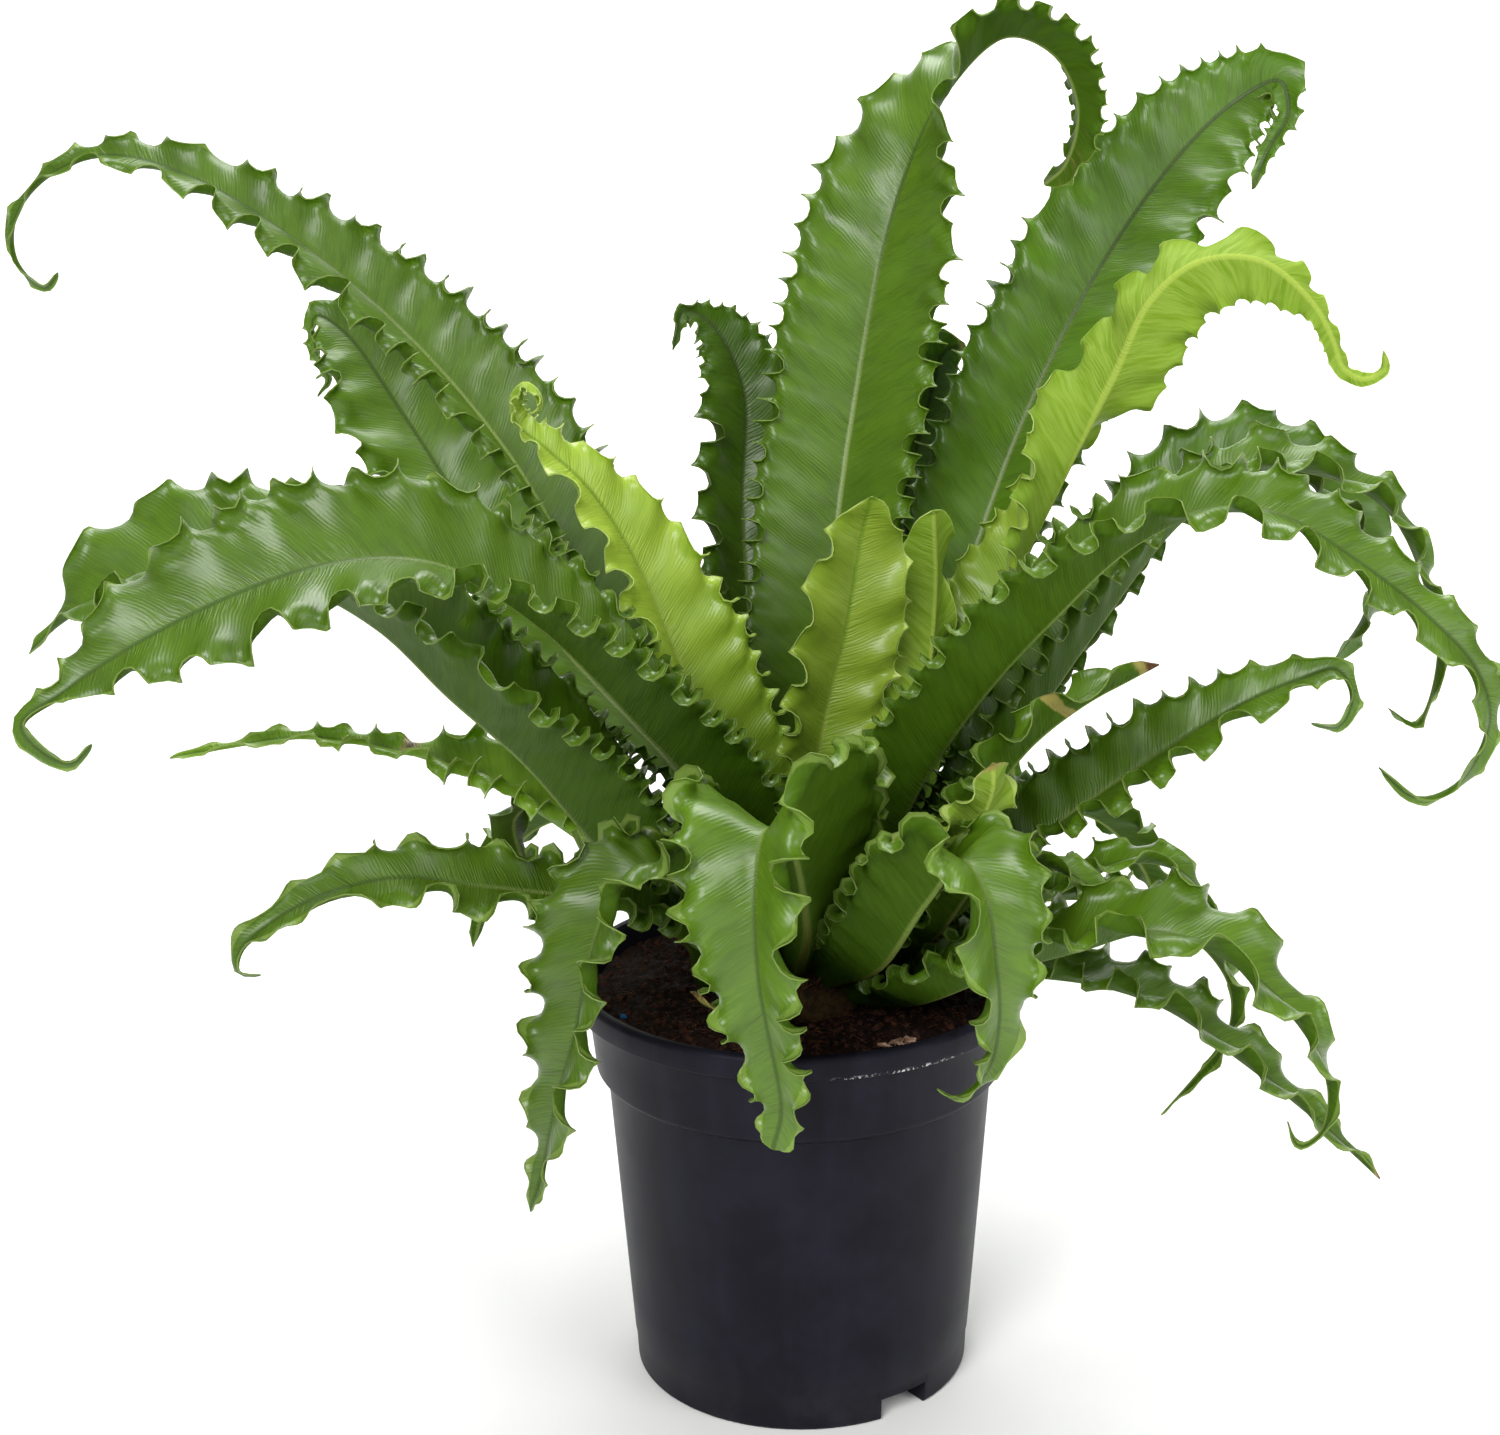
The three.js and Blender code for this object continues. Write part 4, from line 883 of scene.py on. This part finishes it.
# %% Turn a section about the axis
def lathe(section, sides):
    """Points and faces of a solid of revolution. The section starts and ends on the axis."""
    angles = np.arange(sides) * 2 * math.pi / sides
    points, faces = [(0, 0, section[0][1])], []
    for r, z in section[1:-1]:
        points += [(r * math.cos(a), r * math.sin(a), z) for a in angles]
    points.append((0, 0, section[-1][1]))
    rings = len(section) - 2
    for k in range(sides):
        n = (k + 1) % sides
        faces.append((0, 1 + n, 1 + k))
        for ring in range(rings - 1):
            low, high = 1 + ring * sides, 1 + (ring + 1) * sides
            faces.append((low + k, low + n, high + n, high + k))
        last = 1 + (rings - 1) * sides
        faces.append((last + k, last + n, len(points) - 1))
    return points, faces


print("faces of a turned square with 8 sides:", len(lathe([(0, 0), (1, 0), (1, 1), (0, 1)], 8)[1]))


def arc(r, z, radius, start, end, steps=6):
    """Points of an arc of the section about (r, z), from one angle in degrees to another."""
    turns = np.radians(np.linspace(start, end, steps + 1))
    return [(r + radius * math.cos(a), z + radius * math.sin(a)) for a in turns]


# %% Sizes of the pot
POT_HEIGHT = 159
FOOT_RADIUS = 63.6
WALL_TOP = (72.4, 120.6)
BAND_BOTTOM = (76.6, 123.8)
BAND_TOP = (79.4, 150.1)
LIP_RADIUS = 85
LIP_ROUNDING = 2.2
FOOT_STEP = 13
FOOT_ROUNDING = 1.6
WALL = 1.3
FLOOR = 1.6
POT_SIDES = 192
NOTCH_HEADINGS = (306, 126)
NOTCH_WIDTH = 21
NOTCH_HEIGHT = 9
NOTCH_DEPTH = 12


def wall_radius(z):
    """The wall's outer radius at a height."""
    return FOOT_RADIUS + (WALL_TOP[0] - FOOT_RADIUS) * z / WALL_TOP[1]


print(f"wall radius half way up: {wall_radius(WALL_TOP[1] / 2):.1f} mm")


# %% Draw the section of the pot
wall_heights = [30, 45, 60, 75, 90, 105]
outside = (
    arc(FOOT_RADIUS - FOOT_ROUNDING, FOOT_ROUNDING, FOOT_ROUNDING, -90, 0)
    + [(wall_radius(FOOT_STEP) - 0.4, FOOT_STEP - 0.3), (wall_radius(FOOT_STEP), FOOT_STEP + 0.4)]
    + [(wall_radius(z), z) for z in wall_heights]
    + [(WALL_TOP[0] - 0.05, WALL_TOP[1] - 1), (WALL_TOP[0] + 0.2, WALL_TOP[1] + 0.2), (74.1, 122.1)]
    + [(BAND_BOTTOM[0] - 0.6, BAND_BOTTOM[1] - 0.8), (BAND_BOTTOM[0], BAND_BOTTOM[1])]
    + [(BAND_BOTTOM[0] + 0.1, BAND_BOTTOM[1] + 1), (78, 137), (BAND_TOP[0] - 0.1, BAND_TOP[1] - 1)]
    + [(BAND_TOP[0] + 0.3, BAND_TOP[1] - 0.1), (LIP_RADIUS - 0.9, BAND_TOP[1])]
    + arc(LIP_RADIUS - 0.7, BAND_TOP[1] + 0.5, 0.5, -70, 0, 3)
    + [(LIP_RADIUS, 154)]
    + arc(LIP_RADIUS - LIP_ROUNDING, POT_HEIGHT - LIP_ROUNDING, LIP_ROUNDING, 0, 90, 8)
)
inside = (
    [(81.3, POT_HEIGHT - 0.15), (80.8, POT_HEIGHT - 0.7), (80.5, 157.5)]
    + [(BAND_TOP[0] - WALL, BAND_TOP[1]), (BAND_BOTTOM[0] - WALL, BAND_BOTTOM[1])]
    + [(WALL_TOP[0] - WALL, WALL_TOP[1])]
    + [(wall_radius(z) - WALL, z) for z in reversed(wall_heights)]
    + arc(FOOT_RADIUS - WALL - FOOT_ROUNDING, FLOOR + FOOT_ROUNDING, FOOT_ROUNDING, 0, -90)
)
section = [(0, 0)] + outside + inside + [(0, FLOOR)]
print("section points:", len(section))

# %% [markdown]
# ## Moulded black plastic
#
# Carbon black in polypropylene is never a pure black. It looks charcoal with a cool cast, and it
# is satin: the mould's fine texture spreads each highlight into a soft column, and those columns
# are also a painted highlight in the colour. Handling leaves faint smears, watering leaves pale
# lime specks under the lip, and a little dust clings to the foot. Each of these is a mask, and the
# colours are laid over one another through them.

# %% Make the pot's plastic
GRAIN_PITCH = 0.55       # The real grain is near 0.2 mm, drawn coarser so that it shows
SMEAR_SIZE = 26
COLUMN_WIDTH = 14
LIME_HEIGHT = 150.2
LIME_SIZE = 1.6
LIME_FROM, LIME_TO = math.radians(275), math.radians(307)


def pot_plastic():
    """Satin charcoal polypropylene with moulded grain, painted highlight columns, smears, dust at the
    foot and lime at the lip.
    """
    made, tree = new_material("moulded_polypropylene")
    place = add(tree, "ShaderNodeTexCoord").outputs["Object"]
    parts = add(tree, "ShaderNodeSeparateXYZ", {0: place}).outputs
    grain = add(tree, NOISE, {"Vector": place, "Scale": 1 / (GRAIN_PITCH * MM), "Detail": 2.0})
    smears = add(tree, NOISE, {"Vector": place, "Scale": 1 / (SMEAR_SIZE * MM), "Detail": 5.0,
                               "Roughness": 0.6})
    tall = add(tree, "ShaderNodeVectorMath", {0: place, 1: (1, 1, 0.12)}, operation="MULTIPLY")
    columns = add(tree, NOISE, {"Vector": tall, "Scale": 1 / (COLUMN_WIDTH * MM), "Detail": 3.0})
    specks = add(tree, NOISE, {"Vector": place, "Scale": 1 / (LIME_SIZE * MM), "Detail": 4.0,
                               "Roughness": 0.7})

    heading = add(tree, MATH, {0: parts["Y"], 1: parts["X"]}, operation="ARCTAN2")
    heading = add(tree, MATH, {0: heading, 1: 2 * math.pi}, operation="ADD")
    off = add(tree, MATH, {0: parts["Z"], 1: LIME_HEIGHT * MM}, operation="SUBTRACT")
    off = add(tree, MATH, {0: off}, operation="ABSOLUTE")
    masks = masks_of(tree, {
        "smeared": (smears, 0.35, 0.7),
        "lit_columns": (columns, 0.45, 0.75),
        "foot": (parts["Z"], 30 * MM, 0.0),
        "dusty": (smears, 0.4, 0.75),
        "lime_starts": (heading, LIME_FROM, LIME_FROM + 0.12),
        "lime_ends": (heading, LIME_TO + 0.12, LIME_TO - 0.1),
        "lime_stripe": (off, 1.5 * MM, 0.2 * MM),
        "lime_specks": (specks, 0.5, 0.62),
    })
    dust = add(tree, MATH, {0: masks["foot"], 1: masks["dusty"]}, operation="MULTIPLY")

    # Lime: fine white specks in a narrow stripe under the lip, on the front right
    lime = masks["lime_starts"]
    for mask in ("lime_ends", "lime_stripe", "lime_specks"):
        lime = add(tree, MATH, {0: lime, 1: masks[mask]}, operation="MULTIPLY")
    colour = paint(tree, linear("15141c"), [
        (masks["smeared"], 1.0, linear("1c1b25")),
        # Painted highlight: soft vertical columns of lighter colour
        (masks["lit_columns"], 0.3, linear("272635")),
        (dust, 0.3, linear("3c3836")),
        (lime, 1.0, linear("e9e6e2")),
    ])

    rough = add(tree, MATH, {0: smears, 1: 0.2, 2: 0.34}, operation="MULTIPLY_ADD")
    rough = add(tree, MATH, {0: lime, 1: 0.4, 2: rough}, operation="MULTIPLY_ADD")
    height = add(tree, MATH, {0: columns, 1: 1.5, 2: grain}, operation="MULTIPLY_ADD")
    bump = add(tree, "ShaderNodeBump", {"Height": height, "Strength": 0.25, "Distance": 0.08 * MM})
    shader = add(tree, "ShaderNodeBsdfPrincipled", {
        "Base Color": colour, "Roughness": rough, "IOR": 1.49, "Specular IOR Level": 0.1,
        "Normal": bump})
    add(tree, "ShaderNodeOutputMaterial", {"Surface": shader})
    return made


plastic = pot_plastic()
print("made", plastic.name)


# %% Turn the pot and cut its notches
def foot_block(heading, width, depth, bottom, top):
    """A block that reaches from a depth inside the foot's wall out past it."""
    block = bmesh.new()
    bmesh.ops.create_cube(block, size=1)
    length = depth + NOTCH_DEPTH
    middle = Vector((FOOT_RADIUS - depth + length / 2, 0, (top + bottom) / 2))
    fit = Matrix.Translation(middle) @ Matrix.Diagonal((length, width, top - bottom, 1))
    spun = Matrix.Rotation(math.radians(heading), 4, "Z") @ fit
    bmesh.ops.transform(block, matrix=Matrix.Scale(MM, 4) @ spun, verts=block.verts)
    mesh = bpy.data.meshes.new("foot_block")
    block.to_mesh(mesh)
    block.free()
    made = bpy.data.objects.new("foot_block", mesh)
    bpy.context.collection.objects.link(made)
    return made


def combine(piece, other, operation):
    """The piece joined with, cut by or kept inside the other, which is then removed."""
    modifier = piece.modifiers.new(operation, "BOOLEAN")
    modifier.operation, modifier.solver, modifier.object = operation, "EXACT", other
    bpy.context.view_layer.update()
    result = bpy.data.meshes.new_from_object(piece.evaluated_get(bpy.context.evaluated_depsgraph_get()))
    piece.modifiers.clear()
    piece.data = result
    bpy.data.objects.remove(other)


def refinish(piece, material, sharp):
    """One material again, and smooth faces with hard edges above an angle in degrees."""
    piece.data.materials.clear()
    piece.data.materials.append(material)
    piece.data.shade_smooth()
    piece.data.set_sharp_from_angle(angle=math.radians(sharp))


pot = mesh_object("nursery_pot", *lathe(section, POT_SIDES), plastic)
filled_foot = [(0, 0.01)] + [(r, z) for r, z in outside if z < 60] + [(0, 60)]
for heading in NOTCH_HEADINGS:
    liner = foot_block(heading, NOTCH_WIDTH + 2 * WALL, NOTCH_DEPTH + WALL, 0.02, NOTCH_HEIGHT + WALL)
    filled = mesh_object("filled", *lathe(filled_foot, POT_SIDES), plastic)
    combine(liner, filled, "INTERSECT")
    combine(pot, liner, "UNION")
for heading in NOTCH_HEADINGS:
    combine(pot, foot_block(heading, NOTCH_WIDTH, NOTCH_DEPTH, -1, NOTCH_HEIGHT), "DIFFERENCE")
refinish(pot, plastic, sharp=35)
hand_over(pot, "black_plastic", "pot")

# %% [markdown]
# ## Peat
#
# Potting peat is dark red brown and has three sizes of thing in it: a lumpy surface, crumbs of a
# millimetre or two, and fine fibres that cross them. The surface is one closed solid that fills
# the pot. Geometry Nodes scatter the crumbs and the fibres over its top, because they repeat by
# the thousand, and the same seed gives the same soil each time.

# %% Make the peat's finish
CRUMB_SIZE = 3.5
GRIT_SIZE = 0.7


def peat(name, dark, light):
    """Dull damp peat: brown, broken up at the size of a crumb and again at the size of a fibre."""
    made, tree = new_material(name)
    place = add(tree, "ShaderNodeTexCoord").outputs["Object"]
    crumbs = add(tree, NOISE, {"Vector": place, "Scale": 1 / (CRUMB_SIZE * MM), "Detail": 4.0,
                               "Roughness": 0.7})
    grit = add(tree, NOISE, {"Vector": place, "Scale": 1 / (GRIT_SIZE * MM), "Detail": 2.0})
    masks = masks_of(tree, {"light": (crumbs, 0.36, 0.66)})
    colour = paint(tree, linear(dark), [(masks["light"], 1.0, linear(light))])
    rough = add(tree, MATH, {0: crumbs, 1: 0.3, 2: 0.62}, operation="MULTIPLY_ADD")
    height = add(tree, MATH, {0: crumbs, 1: grit}, operation="ADD")
    bump = add(tree, "ShaderNodeBump", {"Height": height, "Strength": 0.8, "Distance": 0.6 * MM})
    shader = add(tree, "ShaderNodeBsdfPrincipled", {
        "Base Color": colour, "Roughness": rough, "Specular IOR Level": 0.2, "Normal": bump})
    add(tree, "ShaderNodeOutputMaterial", {"Surface": shader})
    return made


damp_peat = peat("damp_peat", "120906", "2c1810")
peat_crumb = peat("peat_crumb", "1d100b", "4a2a1b")
peat_fibre = peat("peat_fibre", "3d2216", "7a4e33")
print("peat:", damp_peat.name, peat_crumb.name, peat_fibre.name)

# %% Shape the body of soil
SOIL_AT_WALL = 150
SOIL_AT_CROWN = 147.3
SOIL_RINGS = 64
SOIL_SIDES = 300
ROOT_RADIUS = 19
ROOT_BOTTOM = 120
DIP_RADIUS, DIP_SLOPE = 29, 17
LUMP_HEIGHT = 0.55
CRUMB_HEIGHT = 1.3


def soil_height(x, y):
    """The height of the peat over a point: a dip round the crown, lumps, and crumbs on those."""
    rise = float(smooth((math.hypot(x, y) - DIP_RADIUS) / DIP_SLOPE))
    lumps = (math.sin(x / 6.1 + 1.3) * math.cos(y / 7.3)
             + math.sin((x + y) / 4.7) * math.cos((x - y) / 9.1 + 0.6)
             + 0.6 * math.sin(x / 2.9 + y / 3.7))
    crumb = noise.fractal(Vector((x / 3.2, y / 3.2, 0)), 0.8, 2.1, 5)
    plain = SOIL_AT_CROWN + (SOIL_AT_WALL - SOIL_AT_CROWN) * rise
    return plain + LUMP_HEIGHT * lumps * (0.3 + 0.7 * rise) + CRUMB_HEIGHT * crumb * (0.4 + 0.6 * rise)


hole = CROWN_RADIUS + GAP
soil_edge = BAND_TOP[0] - WALL - 0.35
side = [(r - 0.3, z) for r, z in reversed(inside) if 3.4 < z < 149]
soil_section = ([(0, FLOOR + 0.3), (60.2, FLOOR + 0.3)] + side
                + [(r, SOIL_AT_WALL) for r in np.linspace(soil_edge, hole, SOIL_RINGS)]
                + [(ROOT_RADIUS + GAP, ROOT_BOTTOM - GAP), (0, ROOT_BOTTOM - GAP)])
soil_points, soil_faces = lathe(soil_section, SOIL_SIDES)
soil_points = [(x, y, soil_height(x, y) if z == SOIL_AT_WALL else z) for x, y, z in soil_points]
soil = mesh_object("peat_body", soil_points, soil_faces, damp_peat)
for heading in NOTCH_HEADINGS:
    reach = WALL + GAP
    pocket = foot_block(heading, NOTCH_WIDTH + 2 * reach, NOTCH_DEPTH + reach, -1, NOTCH_HEIGHT + reach)
    combine(soil, pocket, "DIFFERENCE")
refinish(soil, damp_peat, sharp=60)
hand_over(soil, "peat_soil", "soil")


# %% [markdown]
# ## Scatter with Geometry Nodes
#
# One small tree serves for crumbs, for fibres and for the scales of the crown. It takes points on
# the upward faces of a surface, puts a shape on each, turns and sizes it at random, and moves the
# result by noise so that no two look the same. The seed and sizes are named inputs.

# %% Build a scattering tree
UPWARD_FROM = 0.35


def roughened(tree, geometry, scale, detail, middle, reach):
    """The geometry with its points moved by noise. middle is the noise that moves nothing."""
    where = add(tree, "GeometryNodeInputPosition")
    cloud = add(tree, NOISE, {"Vector": where, "Scale": scale, "Detail": detail}).outputs["Color"]
    centred = add(tree, "ShaderNodeVectorMath", {0: cloud, 1: middle}, operation="SUBTRACT")
    shift = add(tree, "ShaderNodeVectorMath", {0: centred, "Scale": reach}, operation="SCALE")
    return add(tree, "GeometryNodeSetPosition", {"Geometry": geometry, "Offset": shift})


def scatter_tree(name, build_shape, material, lean):
    """A tree that scatters a shape over a surface. lean is how far a shape may tip, in radians."""
    tree = bpy.data.node_groups.new(name, "GeometryNodeTree")
    inputs = {"Surface": "Geometry", "Density": "Float", "Seed": "Int", "Smallest": "Float",
              "Largest": "Float", "Roughen": "Float", "Within radius": "Float"}
    for label, kind in inputs.items():
        tree.interface.new_socket(label, in_out="INPUT", socket_type="NodeSocket" + kind)
    tree.interface.new_socket("Geometry", in_out="OUTPUT", socket_type="NodeSocketGeometry")
    given = add(tree, "NodeGroupInput").outputs

    # Points on the faces that look up, inside a radius about the axis
    normal = add(tree, "GeometryNodeInputNormal")
    facing = add(tree, "ShaderNodeSeparateXYZ", {0: normal}).outputs["Z"]
    upward = add(tree, "FunctionNodeCompare", {0: facing, 1: UPWARD_FROM}, operation="GREATER_THAN")
    where = add(tree, "GeometryNodeInputPosition")
    flat = add(tree, "ShaderNodeVectorMath", {0: where, 1: (1, 1, 0)}, operation="MULTIPLY")
    radius = add(tree, "ShaderNodeVectorMath", {0: flat}, operation="LENGTH").outputs["Value"]
    near = add(tree, "FunctionNodeCompare", {0: radius, 1: given["Within radius"]}, operation="LESS_THAN")
    chosen = add(tree, "FunctionNodeBooleanMath", {0: upward, 1: near}, operation="AND")
    dots = add(tree, "GeometryNodeDistributePointsOnFaces",
               {"Mesh": given["Surface"], "Selection": chosen, "Density": given["Density"],
                "Seed": given["Seed"]})

    # A shape on each point, turned and sized at random, then all of them roughened
    spin = add(tree, "FunctionNodeRandomValue",
               {0: (-lean, -lean, 0), 1: (lean, lean, 2 * math.pi), "Seed": given["Seed"]},
               data_type="FLOAT_VECTOR").outputs[0]
    size = add(tree, "FunctionNodeRandomValue",
               {2: given["Smallest"], 3: given["Largest"], "Seed": given["Seed"]},
               data_type="FLOAT").outputs[1]
    placed = add(tree, "GeometryNodeInstanceOnPoints",
                 {"Points": dots.outputs["Points"], "Instance": build_shape(tree), "Rotation": spin,
                  "Scale": size})
    real = add(tree, "GeometryNodeRealizeInstances", {0: placed})
    moved = roughened(tree, real, 700.0, 1.0, (0.5, 0.5, 0.5), given["Roughen"])
    finish = add(tree, "GeometryNodeSetMaterial", {"Geometry": moved, "Material": material})
    add(tree, "NodeGroupOutput", {"Geometry": finish})
    return tree


def scatter(name, surface, tree, slot, **settings):
    """Runs a scattering tree on a copy of the surface and keeps the result as a plain mesh."""
    holder = bpy.data.objects.new(name, surface.data.copy())
    bpy.context.collection.objects.link(holder)
    modifier = holder.modifiers.new("scatter", "NODES")
    modifier.node_group = tree
    identifiers = {item.name: item.identifier
                   for item in tree.interface.items_tree if item.in_out == "INPUT"}
    for label, value in settings.items():
        modifier[identifiers[label.replace("_", " ")]] = value
    bpy.context.view_layer.update()
    made = bpy.data.meshes.new_from_object(holder.evaluated_get(bpy.context.evaluated_depsgraph_get()))
    holder.modifiers.clear()
    holder.data = made
    made.shade_smooth()
    hand_over(holder, slot)


print(f"shapes stand where a surface leans less than {math.degrees(math.acos(UPWARD_FROM)):.0f} degrees")


# %% Scatter the crumbs and fibres
def crumb_shape(tree):
    """A knobbly crumb, 1 mm across, a little flattened."""
    ball = add(tree, "GeometryNodeMeshIcoSphere", {"Radius": 0.5 * MM, "Subdivisions": 2})
    return roughened(tree, ball, 1900.0, 2.0, (0.5, 0.5, 0.62), 0.9 * MM)


def fibre_shape(tree):
    """A short bent fibre, 6 mm long and a quarter of a millimetre thick."""
    route = add(tree, "GeometryNodeCurveQuadraticBezier",
                {"Resolution": 6, "Start": (-3 * MM, 0, 0.1 * MM), "Middle": (0, 1.6 * MM, 1.1 * MM),
                 "End": (3 * MM, -0.5 * MM, 0.2 * MM)})
    ring = add(tree, "GeometryNodeCurvePrimitiveCircle", {"Resolution": 4, "Radius": 0.11 * MM})
    return add(tree, "GeometryNodeCurveToMesh",
               {"Curve": route, "Profile Curve": ring, "Fill Caps": True})


PER_SQUARE_MM = 1e6
crumbs = scatter_tree("peat_crumbs", crumb_shape, peat_crumb, lean=1.2)
fibres = scatter_tree("peat_fibres", fibre_shape, peat_fibre, lean=0.5)
inner_edge = (soil_edge - 0.8) * MM
scatter("peat_crumbs", soil, crumbs, "peat_soil", Density=0.055 * PER_SQUARE_MM, Seed=4, Smallest=0.6,
        Largest=3.6, Roughen=1.2 * MM, Within_radius=inner_edge)
scatter("peat_fibres", soil, fibres, "peat_soil", Density=0.035 * PER_SQUARE_MM, Seed=9, Smallest=0.4,
        Largest=1.2, Roughen=1.0 * MM, Within_radius=inner_edge - 2.5 * MM)

# %% [markdown]
# ## A few single things on the soil
#
# Two flakes of bark and one blue grain of fertiliser lie on this soil. They are single things, so
# each is placed one by one: a ball stretched to its three sizes and roughened by noise. This noise
# starts somewhere else in every run unless it gets a seed, so it gets one before its first use.

# %% Lay down the bark and the grain
def lump(name, place, sizes, turn, finish, roughen):
    """A rough lump at a place, with three sizes in millimetres, turned by degrees about the upright."""
    ball = bmesh.new()
    bmesh.ops.create_icosphere(ball, subdivisions=4, radius=0.5)
    spin = Matrix.Rotation(math.radians(turn), 3, "Z")
    points = []
    for corner in ball.verts:
        shaped = Vector([a * b for a, b in zip(corner.co, sizes)])
        shaped += roughen * noise.noise_vector(shaped * 0.8 + Vector(place))
        points.append(spin @ shaped + Vector(place))
    faces = [[corner.index for corner in face.verts] for face in ball.faces]
    ball.free()
    hand_over(mesh_object(name, points, faces, finish), "peat_soil")


LUMP_SEED = 2
noise.seed_set(LUMP_SEED)
bark = peat("dry_bark", "6b4a38", "cfae96")
blue_grain = peat("blue_grain", "1f5f9c", "58a2d6")
lump("bark_flake", (36, -57.5, 153), (10, 5, 1.8), 14, bark, 1.5)
lump("bark_splinter", (29.5, -59.5, 152.6), (6, 2.2, 1.2), -25, bark, 0.9)
lump("feed_grain", (-64.5, -29.5, 152.2), (2.4, 2.1, 1.8), 0, blue_grain, 0.3)

# %% [markdown]
# ## Crown
#
# The rootstock of a bird's nest fern is a short stump wrapped in dark papery scales. Little of it
# shows between the frond bases, but from above it is the middle of the nest. A turned dome gives
# the mass and scattered scales give the fur.

# %% Make the crown and its scales
CROWN_HEIGHT = 149
crown_section = ([(0, ROOT_BOTTOM), (ROOT_RADIUS, ROOT_BOTTOM), (CROWN_RADIUS, CROWN_HEIGHT)]
                 + arc(0, CROWN_HEIGHT, CROWN_RADIUS, 6, 84, 14) + [(0, CROWN_HEIGHT + CROWN_RADIUS)])
crown_scale = peat("papery_scale", "3a2415", "7a5433")
crown_core = peat("crown_core", "2a1c0f", "4a3a1c")
crown = mesh_object("crown_core", *lathe(crown_section, 64), crown_core, sharp=50)
hand_over(crown, "crown_fibre", "crown")


def scale_shape(tree):
    """A narrow pointed scale, 7 mm long, that stands up."""
    cone = add(tree, "GeometryNodeMeshCone",
               {"Vertices": 5, "Side Segments": 3, "Radius Bottom": 0.8 * MM, "Depth": 7 * MM})
    return add(tree, "GeometryNodeTransform",
               {"Geometry": cone, "Scale": (1.0, 0.35, 1.0), "Translation": (0, 0, -1.5 * MM)})


scales = scatter_tree("crown_scales", scale_shape, crown_scale, lean=0.9)
scatter("crown_scales", crown, scales, "crown_fibre", Density=0.35 * PER_SQUARE_MM, Seed=3, Smallest=0.6,
        Largest=1.3, Roughen=1.2 * MM, Within_radius=CROWN_RADIUS * MM)

# %% [markdown]
# ## Floor and light
#
# The plant stands alone on a pale sweep. A studio lights such a picture from a large soft box in
# front and to the left, a weaker one on the right, and one above and behind that puts a silky sheen
# on the arches. The pale room around fills the shadows, so they stay open.

# %% Lay the floor and hang the lights
def floor_material():
    """Matt pale paper."""
    made, tree = new_material("pale_paper")
    place = add(tree, "ShaderNodeTexCoord").outputs["Object"]
    tooth = add(tree, NOISE, {"Vector": place, "Scale": 900.0, "Detail": 2.0})
    colour = paint(tree, linear("f3f3f1"), [(tooth, 1.0, linear("f7f7f6"))])
    shader = add(tree, "ShaderNodeBsdfPrincipled", {"Base Color": colour, "Roughness": 0.9})
    add(tree, "ShaderNodeOutputMaterial", {"Surface": shader})
    return made


SWEEP_HALF = 6000
SWEEP_BACK = 3200
SWEEP_BEND = 900
SWEEP_HEIGHT = 4500
bend = [(SWEEP_BACK + SWEEP_BEND * math.sin(a), SWEEP_BEND * (1 - math.cos(a)))
        for a in np.linspace(0, math.pi / 2, 24)]
line = [(-SWEEP_HALF, 0)] + bend + [(SWEEP_BACK + SWEEP_BEND, SWEEP_HEIGHT)]
points = [(x, y, z) for y, z in line for x in (-SWEEP_HALF, SWEEP_HALF)]
faces = [(2 * k, 2 * k + 1, 2 * k + 3, 2 * k + 2) for k in range(len(line) - 1)]
sweep = mesh_object("paper_sweep", points, faces, floor_material())

world = bpy.data.worlds.new("pale_room")
bpy.context.scene.world = world
world.use_nodes = True
background = world.node_tree.nodes["Background"]
background.inputs["Color"].default_value = linear("f6f7f8")
background.inputs["Strength"].default_value = 0.26


def soft_box(name, place, size, watts, aim=(0, 0, 260)):
    """A square soft box at a place in millimetres, aimed at the middle of the plant or elsewhere."""
    data = bpy.data.lights.new(name, "AREA")
    data.size = size * MM
    data.energy = watts
    box = bpy.data.objects.new(name, data)
    bpy.context.collection.objects.link(box)
    spot = Vector(place) * MM
    turn = (spot - Vector(aim) * MM).to_track_quat("Z", "Y")
    box.matrix_world = Matrix.Translation(spot) @ turn.to_matrix().to_4x4()


soft_box("key", (-480, -1400, 1250), 800, 27)
soft_box("fill", (1200, -1000, 800), 900, 10)
soft_box("top", (150, 500, 1500), 800, 18)
soft_box("backdrop", (0, 2200, 2400), 2400, 150, aim=(0, 4200, 0))
